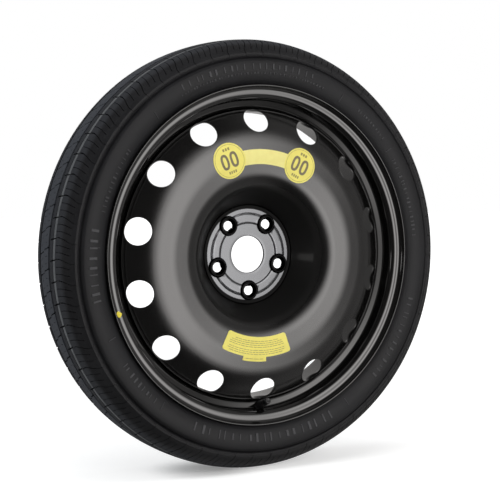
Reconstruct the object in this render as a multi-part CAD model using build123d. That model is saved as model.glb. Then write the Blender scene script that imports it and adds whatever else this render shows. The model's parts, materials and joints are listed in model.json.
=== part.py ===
from build123d import *
from math import atan2, cos, radians, sin, sqrt, tan
import os

os.makedirs("parts", exist_ok=True)

# Frame: the wheel's axis is Y, its outer face looks along -Y, Z is up, and the origin is the wheel's centre.
# All sizes are in millimetres. Sections are drawn as (radius, axial place) and turned about Y.

# Rolled rim
RIM_T = 2.6
RIM_HALF_WIDTH = 50.8
SEAT_R = 241.3
SEAT_TAPER = 5.0
SEAT_WIDTH = 20.8
SEAT_END_Y = RIM_HALF_WIDTH - SEAT_WIDTH
FLANGE_HEIGHT = 17.3
FLANGE_REACH = 11.6
FLANGE_ROUND = 9.5
HEEL_ROUND = 6.5
SEAT_ROUND = 6.0
WELL_DEPTH = 15.9
WELL_ROUND = 7.0
WELL_OUTBOARD_SLOPE = 5.6
WELL_INBOARD_SLOPE = 13.0

# Pressed disc
DISC_T = 3.6
SKIRT_R = SEAT_R - WELL_DEPTH - RIM_T
SKIRT_BEND_Y = -35.1
SKIRT_END_Y = 8.0
SKIRT_ROUND = 12.0
CONE_SLOPE = 31.0
VENT_COUNT = 14
VENT_R = 20.5
VENT_INSET = 16.0
VENT_CENTRE_R = SKIRT_R - VENT_INSET
VENT_START = 91.53
WELD_LEG = 3.4
WELD_COUNT = 8
WELD_ARC = 26.0
WELD_START = 10.0

# Hub of the disc
HUB_BACK_Y = -3.0
HUB_BORE_R = 28.55
BOLT_CIRCLE = 112.0
BOLT_COUNT = 5
BOLT_START = 55.57
BOLT_HOLE_R = 7.5
BOLT_SEAT_R = 13.0
BOLT_SEAT_LAND = 1.2
BOLT_COLLAR_R = 15.0
BOLT_COLLAR_HEIGHT = 2.0
BOLT_COLLAR_ROUND = 1.9
BOLT_COLLAR_ROOT = 1.0
HUB_BAND_RISE = 1.6
HUB_STEP_IN_WIDTH = 2.6
HUB_STEP_OUT_WIDTH = 4.5
HUB_STEP_ROUND = 2.0
HUB_BAND_IN_R = BOLT_CIRCLE / 2 - 6.0
HUB_BAND_OUT_R = BOLT_CIRCLE / 2 + 4.7
HUB_WALL_R = BOLT_CIRCLE / 2 + 21.0
HUB_WALL_ROUND = 4.0

# Crest of the disc, a low ridge between the hub's wall and the cone
CREST_Y = -58.0
CREST_IN_SHARE = 0.226
CREST_SHARE = 0.514
CREST_IN_R = HUB_WALL_R + CREST_IN_SHARE * (SKIRT_R - HUB_WALL_R)
CREST_R = HUB_WALL_R + CREST_SHARE * (SKIRT_R - HUB_WALL_R)
CREST_IN_SLOPE = 5.0
CREST_OUT_SLOPE = 4.5
CREST_IN_ROUND = 42.0
CREST_ROUND = 70.0
CREST_OUT_ROUND = 75.0

# Tyre: radii from the bead seat and the tread, axial places from the rim's width
TYRE_HEIGHT = 88.7
TYRE_R = SEAT_R + TYRE_HEIGHT
SECTION_OVERHANG = 13.5
SECTION_HALF = RIM_HALF_WIDTH + SECTION_OVERHANG
SECTION_R = SEAT_R + 39.7
LOWER_R = SEAT_R + 23.7
LOWER_Y = RIM_HALF_WIDTH + 9.0
LOWER_BEND_R = LOWER_R - 5.0
LOWER_BEND_Y = LOWER_Y - 3.4
RIDGE_R = TYRE_R - 35.5
RIDGE_Y = SECTION_HALF - 1.1
RECESS_R = TYRE_R - 30.0
RECESS_Y = SECTION_HALF - 3.9
BUTTRESS_R = TYRE_R - 24.0
BUTTRESS_Y = SECTION_HALF - 5.1
SHOULDER_R = TYRE_R - 20.0
SHOULDER_Y = SECTION_HALF - 8.8
SHOULDER_BEND_R = TYRE_R - 8.0
SHOULDER_BEND_Y = SHOULDER_Y - 11.14
TREAD_FLAT_DROP = 1.6
TREAD_FLAT_Y = SHOULDER_Y - 25.9
CROWN_THICK = 12.0
WALL_THICK = 8.0
BEAD_INSET = 2.0
BEAD_SINK = 6.0
BEAD_HEEL_RISE = 9.0
BEAD_TOE_RISE = 2.5
BEAD_TOE_Y = RIM_HALF_WIDTH - 16.3
BEAD_CORE_R = 4.0
BEAD_CORE_ABOVE_SEAT = 7.2
BEAD_CORE_Y = RIM_HALF_WIDTH - 7.2
LINER_LOW_R = SEAT_R + 26.0
LINER_LOW_STEP = 4.5
LINER_HIGH_DROP = 21.0
LINER_HIGH_STEP = 3.5
LINER_BEND_DROP = 8.0
LINER_BEND_STEP = 9.5
LINER_CROWN_DROP = 2.5
LINER_CROWN_Y = TREAD_FLAT_Y + 6.4
GROOVE_Y = 17.5
GROOVE_W = 5.0
GROOVE_DEPTH = 5.5
BAND_Y = 32.0
BAND_W = 6.0
BAND_DEPTH = 0.8

# Snap-in valve, along its own axis from the rim's outer face
VALVE_SHIFT = 0.96
VALVE_HOLE_R = 5.75
VALVE_BULB_R = 7.8
VALVE_BULB_LENGTH = 8.4
VALVE_FOOT_R = 7.4
VALVE_FOOT_LENGTH = 2.6
VALVE_NECK_R = 6.0
VALVE_TIP_R = 5.3
RUBBER_END = 20.5
STEM_R = 3.85
STEM_END = 29.5
STEM_BORE_R = 2.2
CORE_BORE_R = 2.65
CORE_BORE_START = 18.5
PLUG_LENGTH = 4.6
PLUG_SINK = 0.8
BARREL_R = 1.75
BARREL_BORE_R = 1.35
BARREL_START = 14.4
BARREL_FLOOR = 0.5
SEAL_LENGTH = 2.4
PIN_R = 0.5
PIN_HOLE_GAP = 0.35
COLLAR_R = 1.0
COLLAR_LENGTH = 0.7
CUP_R = 1.6
CUP_LENGTH = 2.0
CUP_SEAL_LENGTH = 0.6
MOVING_GAP = 0.3
SPRING_WIRE_R = 0.14
SPRING_R = 0.98
SPRING_TURNS = 6
CAP_R = 5.1
CAP_WALL_TOP = 1.6
CAP_SEAL_LENGTH = 0.8

# Stickers and paint mark
STICKER_T = 0.35
GLUE_T = 0.05
SPEED_RING_R = CREST_R + 1.0
SPEED_DISC_R = 27.0
SPEED_ANGLES = (63.5, 110.4)
SPEED_SHIFT = -5.0
SPEED_BRIDGE_IN_R = SPEED_RING_R - 14.0
SPEED_BRIDGE_OUT_R = SPEED_RING_R + 8.5
NOTE_HEIGHT = 30.5
NOTE_IN_R = CREST_R - 28.0
NOTE_OUT_R = NOTE_IN_R + NOTE_HEIGHT
NOTE_ANGLES = (241.9, 287.7)
NOTE_TAB_R = NOTE_OUT_R + 6.8
NOTE_TAB_LAP = 2.0
NOTE_TAB_ANGLES = (256.7, 271.3)
NOTE_ROUND = 4.0
DOT_R = 4.8
DOT_PLACE_R = SEAT_R + 8.7
DOT_ANGLE = 198.3


def rounded(points, radii):
    """Edges of an open line whose inner corners have the given radii."""
    edges = []
    start = Vector(*points[0])
    for i in range(1, len(points) - 1):
        corner = Vector(*points[i])
        back = (Vector(*points[i - 1]) - corner).normalized()
        ahead = (Vector(*points[i + 1]) - corner).normalized()
        half = radians(back.get_angle(ahead) / 2)
        radius = radii[i - 1]
        reach = radius / tan(half)
        first, last = corner + back * reach, corner + ahead * reach
        middle = corner + (back + ahead).normalized() * (radius / sin(half) - radius)
        edges.append(Line(start, first))
        edges.append(ThreePointArc(first, middle, last))
        start = last
    edges.append(Line(start, Vector(*points[-1])))
    return edges


def aside(points, radii, distance):
    """The same line moved to the left of its own direction, with corner radii that keep it parallel."""
    ways = []
    for a, b in zip(points, points[1:]):
        length = sqrt((b[0] - a[0]) ** 2 + (b[1] - a[1]) ** 2)
        ways.append(((b[0] - a[0]) / length, (b[1] - a[1]) / length))
    moved = [(points[0][0] - ways[0][1] * distance, points[0][1] + ways[0][0] * distance)]
    bent = []
    for i in range(1, len(points) - 1):
        (ax, ay), (bx, by) = ways[i - 1], ways[i]
        turn = ax * by - ay * bx
        share = distance / (1 + ax * bx + ay * by)
        moved.append((points[i][0] - (ay + by) * share, points[i][1] + (ax + bx) * share))
        bent.append(radii[i - 1] - distance if turn > 0 else radii[i - 1] + distance)
    moved.append((points[-1][0] - ways[-1][1] * distance, points[-1][1] + ways[-1][0] * distance))
    return moved, bent


def sheet(points, radii, near, far):
    """Section of a bent sheet that lies between two distances from a line."""
    one, one_radii = aside(points, radii, near)
    two, two_radii = aside(points, radii, far)
    caps = [Line(one[0], two[0]), Line(one[-1], two[-1])]
    return make_face(rounded(one, one_radii) + rounded(two, two_radii) + caps)


def turned(face):
    """A section turned once round the wheel's axis."""
    return revolve(face, axis=Axis.Y)


def at_angle(shape, angle):
    """A shape drawn at angle zero, on +X, moved round the axis towards +Z."""
    return Rot(0, -angle, 0) * shape


def save(shape, node, label):
    shape.label = label
    export_step(shape, f"parts/{node}.step")


# Pressed disc: one sheet with a hub, a domed crest, a cone with vents and a skirt
hub_front = HUB_BACK_Y - DISC_T
band_front = hub_front - HUB_BAND_RISE
cone = tan(radians(CONE_SLOPE))
crest_fall = tan(radians(CREST_OUT_SLOPE))
crest_in_y = CREST_Y + (CREST_R - CREST_IN_R) * tan(radians(CREST_IN_SLOPE))
crest_out_r = (CREST_Y - crest_fall * CREST_R - SKIRT_BEND_Y + cone * SKIRT_R) / (cone - crest_fall)
crest_out_y = CREST_Y + (crest_out_r - CREST_R) * crest_fall
disc_points = [
    (HUB_BORE_R, hub_front),
    (HUB_BAND_IN_R - HUB_STEP_IN_WIDTH, hub_front),
    (HUB_BAND_IN_R, band_front),
    (HUB_BAND_OUT_R, band_front),
    (HUB_BAND_OUT_R + HUB_STEP_OUT_WIDTH, hub_front),
    (HUB_WALL_R, hub_front),
    (CREST_IN_R, crest_in_y),
    (CREST_R, CREST_Y),
    (crest_out_r, crest_out_y),
    (SKIRT_R, SKIRT_BEND_Y),
    (SKIRT_R, SKIRT_END_Y),
]
step_in = HUB_STEP_ROUND
step_out = HUB_STEP_ROUND + DISC_T
hub_radii = [step_in, step_out, step_out, step_in, HUB_WALL_ROUND]
disc_radii = hub_radii + [CREST_IN_ROUND, CREST_ROUND, CREST_OUT_ROUND, SKIRT_ROUND]
disc = turned(sheet(disc_points, disc_radii, 0, DISC_T))

cone_normal = Vector(sin(radians(CONE_SLOPE)), -cos(radians(CONE_SLOPE)), 0)
vent_y = SKIRT_BEND_Y - VENT_INSET * cone
vent = Plane(origin=(VENT_CENTRE_R, vent_y, 0), z_dir=cone_normal) * Cylinder(VENT_R, 40)
disc -= [at_angle(vent, VENT_START + k * 360 / VENT_COUNT) for k in range(VENT_COUNT)]

band_back = band_front + DISC_T
collar_front = band_front - BOLT_COLLAR_HEIGHT
seat_depth = sqrt(BOLT_SEAT_R**2 - BOLT_HOLE_R**2)
seat_y = band_back - BOLT_SEAT_LAND - seat_depth
collar_h = band_back - BOLT_COLLAR_ROOT - collar_front
collar = Pos(BOLT_CIRCLE / 2, collar_front + collar_h / 2, 0) * Rot(90, 0, 0) * Cylinder(BOLT_COLLAR_R, collar_h)
collar = fillet(collar.edges().sort_by(Axis.Y)[0], BOLT_COLLAR_ROUND)
bolt_hole = Pos(BOLT_CIRCLE / 2, hub_front, 0) * Rot(90, 0, 0) * Cylinder(BOLT_HOLE_R, 40)
bolt_hole += Pos(BOLT_CIRCLE / 2, seat_y, 0) * Sphere(BOLT_SEAT_R)
bolt_angles = [BOLT_START + k * 360 / BOLT_COUNT for k in range(BOLT_COUNT)]
disc += [at_angle(collar, angle) for angle in bolt_angles]
disc -= [at_angle(bolt_hole, angle) for angle in bolt_angles]

# Rolled rim: two flanges, two bead seats and a drop well that carries the disc's skirt
well_r = SEAT_R - WELL_DEPTH
well_outboard_y = SEAT_END_Y - WELL_OUTBOARD_SLOPE
well_inboard_y = SEAT_END_Y - WELL_INBOARD_SLOPE
flange_r = SEAT_R + FLANGE_HEIGHT
flange_end_y = RIM_HALF_WIDTH + FLANGE_REACH
seat_end_r = SEAT_R - (RIM_HALF_WIDTH - SEAT_END_Y) * tan(radians(SEAT_TAPER))
rim_points = [
    (flange_r, -flange_end_y),
    (flange_r, -RIM_HALF_WIDTH),
    (SEAT_R, -RIM_HALF_WIDTH),
    (seat_end_r, -SEAT_END_Y),
    (well_r, -well_outboard_y),
    (well_r, well_inboard_y),
    (seat_end_r, SEAT_END_Y),
    (SEAT_R, RIM_HALF_WIDTH),
    (flange_r, RIM_HALF_WIDTH),
    (flange_r, flange_end_y),
]
rim_radii = [FLANGE_ROUND, HEEL_ROUND, SEAT_ROUND, WELL_ROUND, WELL_ROUND, SEAT_ROUND, HEEL_ROUND, FLANGE_ROUND]
rim = turned(sheet(rim_points, rim_radii, 0, RIM_T))

# Valve frame: square to the outboard wall of the well, in line with a vent
valve_angle = VENT_START + (VENT_COUNT // 2) * 360 / VENT_COUNT
wall_lean = atan2(WELL_OUTBOARD_SLOPE, seat_end_r - well_r)
valve_place_r = (well_r + seat_end_r) / 2 + VALVE_SHIFT
under, _ = aside(rim_points, rim_radii, RIM_T)
valve_share = (valve_place_r - under[4][0]) / (under[3][0] - under[4][0])
valve_y = under[4][1] + (under[3][1] - under[4][1]) * valve_share
valve_out = Vector(-sin(wall_lean), -cos(wall_lean), 0)
valve_plane = Plane(origin=(valve_place_r, valve_y, 0), z_dir=valve_out)


def on_valve(shape):
    """A shape drawn along Z from the rim's outer face, moved to the valve's place."""
    return at_angle(valve_plane * shape, valve_angle)


def ring(outer, inner, low, high):
    """A plain tube along Z."""
    tube = Pos(0, 0, (low + high) / 2) * Cylinder(outer, high - low)
    return tube - Pos(0, 0, (low + high) / 2) * Cylinder(inner, high - low + 2) if inner else tube


def lathe(points):
    """A closed outline of (radius, height) points turned about Z."""
    return revolve(make_face(Polyline([(r, 0, z) for r, z in points], close=True)), axis=Axis.Z)


rim -= on_valve(Cylinder(VALVE_HOLE_R, 30))

# Fillet welds between the skirt's inner end and the well
weld_face = make_face(Polyline([
    (SKIRT_R, SKIRT_END_Y),
    (SKIRT_R - WELD_LEG, SKIRT_END_Y),
    (SKIRT_R - 0.35 * WELD_LEG, SKIRT_END_Y + 0.65 * WELD_LEG),
    (SKIRT_R, SKIRT_END_Y + WELD_LEG),
], close=True))
weld = revolve(weld_face, axis=Axis.Y, revolution_arc=WELD_ARC)
welds = Compound(children=[at_angle(weld, WELD_START + k * 360 / WELD_COUNT) for k in range(WELD_COUNT)])

# Tyre: one moulded section cut to the rim's outer line, with grooves round the tread
crown_in = TYRE_R - CROWN_THICK
side_in = SECTION_HALF - WALL_THICK


def tyre_side(s):
    """Outer and inner lines of one sidewall, for s = -1 outboard and 1 inboard."""
    flat = (TYRE_R - TREAD_FLAT_DROP, s * TREAD_FLAT_Y)
    bend = (SHOULDER_BEND_R, s * SHOULDER_BEND_Y)
    shoulder = (SHOULDER_R, s * SHOULDER_Y)
    buttress = (BUTTRESS_R, s * BUTTRESS_Y)
    ridge = (RIDGE_R, s * RIDGE_Y)
    lower = (LOWER_R, s * LOWER_Y)
    heel = (SEAT_R + BEAD_HEEL_RISE, s * (RIM_HALF_WIDTH - BEAD_INSET))
    base = (SEAT_R - BEAD_SINK, s * (RIM_HALF_WIDTH - BEAD_INSET))
    toe = (SEAT_R - BEAD_SINK, s * BEAD_TOE_Y)
    toe_top = (SEAT_R + BEAD_TOE_RISE, s * BEAD_TOE_Y)
    low_in = (LINER_LOW_R, s * (side_in - LINER_LOW_STEP))
    high_in = (crown_in - LINER_HIGH_DROP, s * (side_in - LINER_HIGH_STEP))
    bend_in = (crown_in - LINER_BEND_DROP, s * (side_in - LINER_BEND_STEP))
    crown_side = (crown_in - LINER_CROWN_DROP, s * LINER_CROWN_Y)
    return [
        ThreePointArc(flat, bend, shoulder),
        Line(shoulder, buttress),
        ThreePointArc(buttress, (RECESS_R, s * RECESS_Y), ridge),
        ThreePointArc(ridge, (SECTION_R, s * SECTION_HALF), lower),
        ThreePointArc(lower, (LOWER_BEND_R, s * LOWER_BEND_Y), heel),
        Line(heel, base),
        Line(base, toe),
        Line(toe, toe_top),
        Line(toe_top, low_in),
        ThreePointArc(low_in, (SECTION_R, s * side_in), high_in),
        ThreePointArc(high_in, bend_in, crown_side),
    ]


crown_out = ThreePointArc(
    (TYRE_R - TREAD_FLAT_DROP, -TREAD_FLAT_Y), (TYRE_R, 0), (TYRE_R - TREAD_FLAT_DROP, TREAD_FLAT_Y)
)
liner_end_r = crown_in - LINER_CROWN_DROP
crown_under = ThreePointArc((liner_end_r, -LINER_CROWN_Y), (crown_in, 0), (liner_end_r, LINER_CROWN_Y))
tyre_face = make_face(tyre_side(-1) + tyre_side(1) + [crown_out, crown_under])
rim_back = [(flange_r, -flange_end_y), (180, -flange_end_y), (180, flange_end_y), (flange_r, flange_end_y)]
tyre_face -= make_face(rounded(rim_points, rim_radii) + [Polyline(rim_back)])
bead_core_r = SEAT_R + BEAD_CORE_ABOVE_SEAT
for side in (-1, 1):
    tyre_face -= Pos(bead_core_r, side * BEAD_CORE_Y) * Circle(BEAD_CORE_R)
    tyre_face -= Pos(TYRE_R, side * GROOVE_Y) * Rectangle(2 * GROOVE_DEPTH, GROOVE_W)
    band_top = TYRE_R - TREAD_FLAT_DROP
    tyre_face -= Pos(band_top, side * BAND_Y) * Rectangle(2 * BAND_DEPTH, BAND_W)
tyre = turned(tyre_face)
bead_cores = [turned(Pos(bead_core_r, side * BEAD_CORE_Y) * Circle(BEAD_CORE_R)) for side in (-1, 1)]

# Valve: rubber body pulled through the hole, brass stem, core with a sprung pin, and a screw cap
stem_low = -RIM_T - VALVE_BULB_LENGTH + 1.0
rubber = lathe([
    (STEM_R, -RIM_T - VALVE_BULB_LENGTH),
    (VALVE_BULB_R - 2.2, -RIM_T - VALVE_BULB_LENGTH),
    (VALVE_BULB_R, -RIM_T - 3.0),
    (VALVE_BULB_R, -RIM_T),
    (VALVE_HOLE_R, -RIM_T),
    (VALVE_HOLE_R, 0),
    (VALVE_FOOT_R, 0),
    (VALVE_FOOT_R, VALVE_FOOT_LENGTH),
    (VALVE_NECK_R, VALVE_FOOT_LENGTH + 2.4),
    (VALVE_TIP_R, RUBBER_END - 0.8),
    (VALVE_TIP_R - 0.8, RUBBER_END),
    (STEM_R, RUBBER_END),
])
valve_body = (on_valve(rubber) - rim).solids().sort_by(SortBy.VOLUME)[-1]

bore_cut = lathe([
    (0, stem_low - 1),
    (STEM_BORE_R, stem_low - 1),
    (STEM_BORE_R, CORE_BORE_START - 0.8),
    (CORE_BORE_R, CORE_BORE_START),
    (CORE_BORE_R, STEM_END + 1),
    (0, STEM_END + 1),
])
stem = Pos(0, 0, (stem_low + STEM_END) / 2) * Cylinder(STEM_R, STEM_END - stem_low)
stem = chamfer(stem.edges().sort_by(Axis.Z)[-1], 0.5) - bore_cut

plug_high = STEM_END - PLUG_SINK
plug_low = plug_high - PLUG_LENGTH
seal_low = plug_low - SEAL_LENGTH
pin_hole_r = PIN_R + PIN_HOLE_GAP
plug = ring(CORE_BORE_R, pin_hole_r, plug_low, plug_high)
barrel = ring(BARREL_R, BARREL_BORE_R, BARREL_START + BARREL_FLOOR, plug_low)
barrel_floor = ring(BARREL_R, pin_hole_r, BARREL_START, BARREL_START + BARREL_FLOOR)
core_plug = plug + barrel + barrel_floor
core_seal = ring(CORE_BORE_R, BARREL_R, seal_low, plug_low)

cup_seal_high = BARREL_START - MOVING_GAP
cup_high = cup_seal_high - CUP_SEAL_LENGTH
cup_low = cup_high - CUP_LENGTH
collar_high = plug_low - MOVING_GAP
collar_low = collar_high - COLLAR_LENGTH
pin_high = STEM_END - 0.2
pin = ring(PIN_R, 0, cup_low, pin_high)
pin += ring(COLLAR_R, 0, collar_low, collar_high)
pin += ring(CUP_R, 0, cup_low, cup_high)
cup_seal = ring(CUP_R, PIN_R, cup_high, cup_seal_high)

spring_low = BARREL_START + BARREL_FLOOR + SPRING_WIRE_R
spring_high = collar_low - SPRING_WIRE_R
spring_rise = spring_high - spring_low
coil = Helix(pitch=spring_rise / SPRING_TURNS, height=spring_rise, radius=SPRING_R)
coil_end = Plane(origin=coil @ 0, z_dir=coil % 0) * Circle(SPRING_WIRE_R)
spring = Pos(0, 0, spring_low) * sweep(coil_end, path=coil)

cap_low = RUBBER_END + MOVING_GAP
cap_bore_r = STEM_R + MOVING_GAP
cap_seal_low = STEM_END + MOVING_GAP
cap_roof = cap_seal_low + CAP_SEAL_LENGTH
cap_high = cap_roof + CAP_WALL_TOP
cap = Pos(0, 0, (cap_low + cap_high) / 2) * Cylinder(CAP_R, cap_high - cap_low)
cap = fillet(cap.edges().sort_by(Axis.Z)[-1], 1.0)
cap -= Pos(0, 0, (cap_low - 1 + cap_roof) / 2) * Cylinder(cap_bore_r, cap_roof - cap_low + 1)
cap_seal = ring(cap_bore_r, STEM_R - 1.6, cap_seal_low, cap_roof)

# Stickers on the disc and a paint mark on the outer flange
sticker_skin = turned(sheet(disc_points[5:10], disc_radii[5:8], -GLUE_T - STICKER_T, -GLUE_T))


def spot(radius, angle):
    """A point on the wheel's face at a radius and an angle."""
    return (radius * cos(radians(angle)), radius * sin(radians(angle)))


def sector(low_r, high_r, angles):
    """A piece of a flat ring between two angles."""
    wedge = Polygon((0, 0), spot(3 * high_r, angles[0]), spot(3 * high_r, angles[1]), align=None)
    return (Circle(high_r) - Circle(low_r)) & wedge


def printed(outline):
    """The part of the disc's skin that a flat outline covers, seen from outboard."""
    return sticker_skin & extrude(Plane.XZ * outline, 90)


speed_outline = sector(SPEED_BRIDGE_IN_R, SPEED_BRIDGE_OUT_R, SPEED_ANGLES)
for angle in SPEED_ANGLES:
    speed_outline += Pos(*spot(SPEED_RING_R, angle)) * Circle(SPEED_DISC_R)
speed_label = printed(Pos(SPEED_SHIFT, 0) * speed_outline)

note_outline = sector(NOTE_IN_R, NOTE_OUT_R, NOTE_ANGLES)
note_outline = fillet(note_outline.vertices(), NOTE_ROUND)
note_outline += sector(NOTE_OUT_R - NOTE_TAB_LAP, NOTE_TAB_R, NOTE_TAB_ANGLES)
note_label = printed(note_outline)

flange_skin = turned(sheet(rim_points[0:4], rim_radii[0:2], RIM_T + GLUE_T, RIM_T + GLUE_T + STICKER_T))
dot_prism = extrude(Plane.XZ * Pos(*spot(DOT_PLACE_R, DOT_ANGLE)) * Circle(DOT_R), 90)
match_dot = flange_skin & dot_prism

save(disc, "disc", "pressed disc")
save(rim, "rim", "rolled rim")
save(welds, "disc_welds", "disc to rim welds")
save(tyre, "tyre", "tyre")
save(bead_cores[0], "bead_core_outboard", "outboard bead core")
save(bead_cores[1], "bead_core_inboard", "inboard bead core")
save(valve_body, "valve_body", "rubber valve body")
save(on_valve(stem), "valve_stem", "valve stem")
save(on_valve(core_plug), "core_plug", "valve core plug and barrel")
save(on_valve(core_seal), "core_seal", "valve core seal")
save(on_valve(pin), "core_pin", "valve core pin and cup")
save(on_valve(cup_seal), "cup_seal", "valve cup seal")
save(on_valve(spring), "core_spring", "valve core spring")
save(on_valve(cap), "valve_cap", "valve cap")
save(on_valve(cap_seal), "cap_seal", "valve cap seal")
save(speed_label, "speed_label", "speed sticker")
save(note_label, "note_label", "instruction sticker")
save(match_dot, "match_dot", "paint mark")
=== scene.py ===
"""Looks of a space saver spare wheel: tyre, pressed steel wheel, valve, stickers and a plain studio.

The wheel's axis is Y, its outer face looks along -Y and Z is up. Sections are drawn as (radius, axial place) in
millimetres, angles go from +X towards +Z in degrees, and every mesh is written in metres in the frame's own place.
"""

import json
import logging
import math
import random
from contextlib import contextmanager
from dataclasses import dataclass
from enum import Enum
from typing import Any, Iterator, Optional, Sequence, Union

import bmesh
import bpy
import numpy as np
from mathutils import Matrix, Vector
from mathutils.geometry import delaunay_2d_cdt

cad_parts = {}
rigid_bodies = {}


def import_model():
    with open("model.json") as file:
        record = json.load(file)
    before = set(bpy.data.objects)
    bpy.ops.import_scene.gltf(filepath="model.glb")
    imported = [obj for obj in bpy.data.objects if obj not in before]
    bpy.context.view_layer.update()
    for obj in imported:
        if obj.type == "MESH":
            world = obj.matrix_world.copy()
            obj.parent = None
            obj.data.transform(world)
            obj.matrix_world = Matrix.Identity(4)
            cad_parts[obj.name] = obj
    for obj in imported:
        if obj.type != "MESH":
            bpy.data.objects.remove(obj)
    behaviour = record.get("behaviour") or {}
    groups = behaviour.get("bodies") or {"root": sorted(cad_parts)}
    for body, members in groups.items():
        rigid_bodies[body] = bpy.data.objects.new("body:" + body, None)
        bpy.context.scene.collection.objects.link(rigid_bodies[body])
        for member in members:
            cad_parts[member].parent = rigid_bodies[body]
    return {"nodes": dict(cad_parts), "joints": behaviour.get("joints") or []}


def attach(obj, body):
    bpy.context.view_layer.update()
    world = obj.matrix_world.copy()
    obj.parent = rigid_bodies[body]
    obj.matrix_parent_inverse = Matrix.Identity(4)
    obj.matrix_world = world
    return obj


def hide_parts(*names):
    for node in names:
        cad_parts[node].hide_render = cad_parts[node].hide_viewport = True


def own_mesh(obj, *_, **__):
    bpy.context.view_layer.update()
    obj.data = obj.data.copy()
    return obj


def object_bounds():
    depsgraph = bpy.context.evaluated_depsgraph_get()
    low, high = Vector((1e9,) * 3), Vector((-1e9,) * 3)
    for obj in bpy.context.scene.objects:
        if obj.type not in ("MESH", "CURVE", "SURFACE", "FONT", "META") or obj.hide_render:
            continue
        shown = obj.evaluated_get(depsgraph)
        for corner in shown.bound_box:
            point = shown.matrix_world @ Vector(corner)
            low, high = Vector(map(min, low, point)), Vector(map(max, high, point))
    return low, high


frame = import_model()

MM = 0.001
WELD_DISTANCE = 4e-6
LINE_SAMPLES = 4000
BISECTIONS = 36
CAD_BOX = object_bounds()
LOG = logging.getLogger("spare_wheel")

Piece = bpy.types.Object
Mesh = bpy.types.Mesh
Material = bpy.types.Material
Socket = bpy.types.NodeSocket
Array = np.ndarray
Point = tuple[float, float]
Triple = tuple[float, float, float]
Colour = Triple


class Body(Enum):
    """The bodies that pieces ride on."""

    WHEEL = "wheel"
    CAP = "cap"


class Val:
    """A number socket that takes part in Python arithmetic; each operation adds a Math node."""

    def __init__(self, graph: "Graph", socket: Socket) -> None:
        """Keeps the socket and the graph that it belongs to."""
        self.graph = graph
        self.socket = socket

    def __add__(self, other: "Number") -> "Val":
        """Sum."""
        return self.graph.math("ADD", self, other)

    def __sub__(self, other: "Number") -> "Val":
        """Difference."""
        return self.graph.math("SUBTRACT", self, other)

    def __rsub__(self, other: "Number") -> "Val":
        """Difference from a number."""
        return self.graph.math("SUBTRACT", other, self)

    def __mul__(self, other: "Number") -> "Val":
        """Product."""
        return self.graph.math("MULTIPLY", self, other)

    def __truediv__(self, other: "Number") -> "Val":
        """Quotient."""
        return self.graph.math("DIVIDE", self, other)

    def __abs__(self) -> "Val":
        """Absolute value."""
        return self.graph.math("ABSOLUTE", self)

    __radd__ = __add__
    __rmul__ = __mul__

    def rise(self, low: float, high: float) -> "Val":
        """Smooth step.

        Args:
            low: value at which the step is 0.
            high: value at which the step is 1.

        Returns:
            The step's value.
        """
        return self.graph.pick("ShaderNodeMapRange", {"Value": self, "From Min": low, "From Max": high},
                               interpolation_type="SMOOTHSTEP")

    def within(self, low: float, high: float, soft: float) -> "Val":
        """A mask that is 1 between two values, with soft ends."""
        return self.rise(low - soft, low + soft) * (1.0 - self.rise(high - soft, high + soft))


Number = Union[Val, float]


class Graph:
    """Adds nodes to a shader or geometry tree."""

    def __init__(self, tree: bpy.types.NodeTree) -> None:
        """Keeps the tree."""
        self.tree = tree

    def feed(self, socket: Socket, value: Any) -> None:
        """Links a socket to another, or sets its value."""
        source = value.socket if isinstance(value, Val) else value
        if isinstance(source, Socket):
            self.tree.links.new(source, socket)
        else:
            socket.default_value = source

    def node(self, kind: str, sockets: Optional[dict] = None, **settings: Any) -> bpy.types.Node:
        """Adds a node.

        Args:
            kind: the node's type.
            sockets: values or links of its inputs, by name or number.
            settings: values of its properties, set first.

        Returns:
            The new node.
        """
        made = self.tree.nodes.new(kind)
        for name, value in settings.items():
            setattr(made, name, value)
        for name, value in (sockets or {}).items():
            self.feed(made.inputs[name], value)
        return made

    def out(self, kind: str, sockets: Optional[dict] = None, **settings: Any) -> Socket:
        """Adds a node and returns its first output."""
        return self.node(kind, sockets, **settings).outputs[0]

    def pick(self, kind: str, sockets: Optional[dict] = None, **settings: Any) -> Val:
        """Adds a node and returns its first output for arithmetic."""
        return Val(self, self.out(kind, sockets, **settings))

    def split(self, vector: Socket) -> tuple[Val, ...]:
        """A vector's three parts."""
        return tuple(Val(self, part) for part in self.node("ShaderNodeSeparateXYZ", {0: vector}).outputs)

    def math(self, operation: str, *values: Number) -> Val:
        """Adds a Math node."""
        return self.pick("ShaderNodeMath", dict(enumerate(values)), operation=operation)

    def length(self, first: Val, second: Val) -> Val:
        """Length of a flat vector."""
        return self.math("SQRT", first * first + second * second)

    def seen(self) -> Val:
        """1 for camera, glossy and transmission rays, and 0 for the light that falls on things."""
        rays = self.node("ShaderNodeLightPath").outputs
        kinds = ("Camera", "Glossy", "Transmission")
        camera, glossy, through = (Val(self, rays[f"Is {kind} Ray"]) for kind in kinds)
        return self.math("MINIMUM", camera + glossy + through, 1.0)

    def blend(self, share: Number, first: Any, second: Any) -> Socket:
        """Mixes two colours.

        Args:
            share: how much of the second colour shows.
            first: a colour or a colour socket.
            second: a colour or a colour socket.

        Returns:
            The mixed colour's socket.
        """
        first = (*first, 1.0) if isinstance(first, tuple) else first
        second = (*second, 1.0) if isinstance(second, tuple) else second
        return self.node("ShaderNodeMix", {0: share, 6: first, 7: second}, data_type="RGBA").outputs[2]


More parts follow.
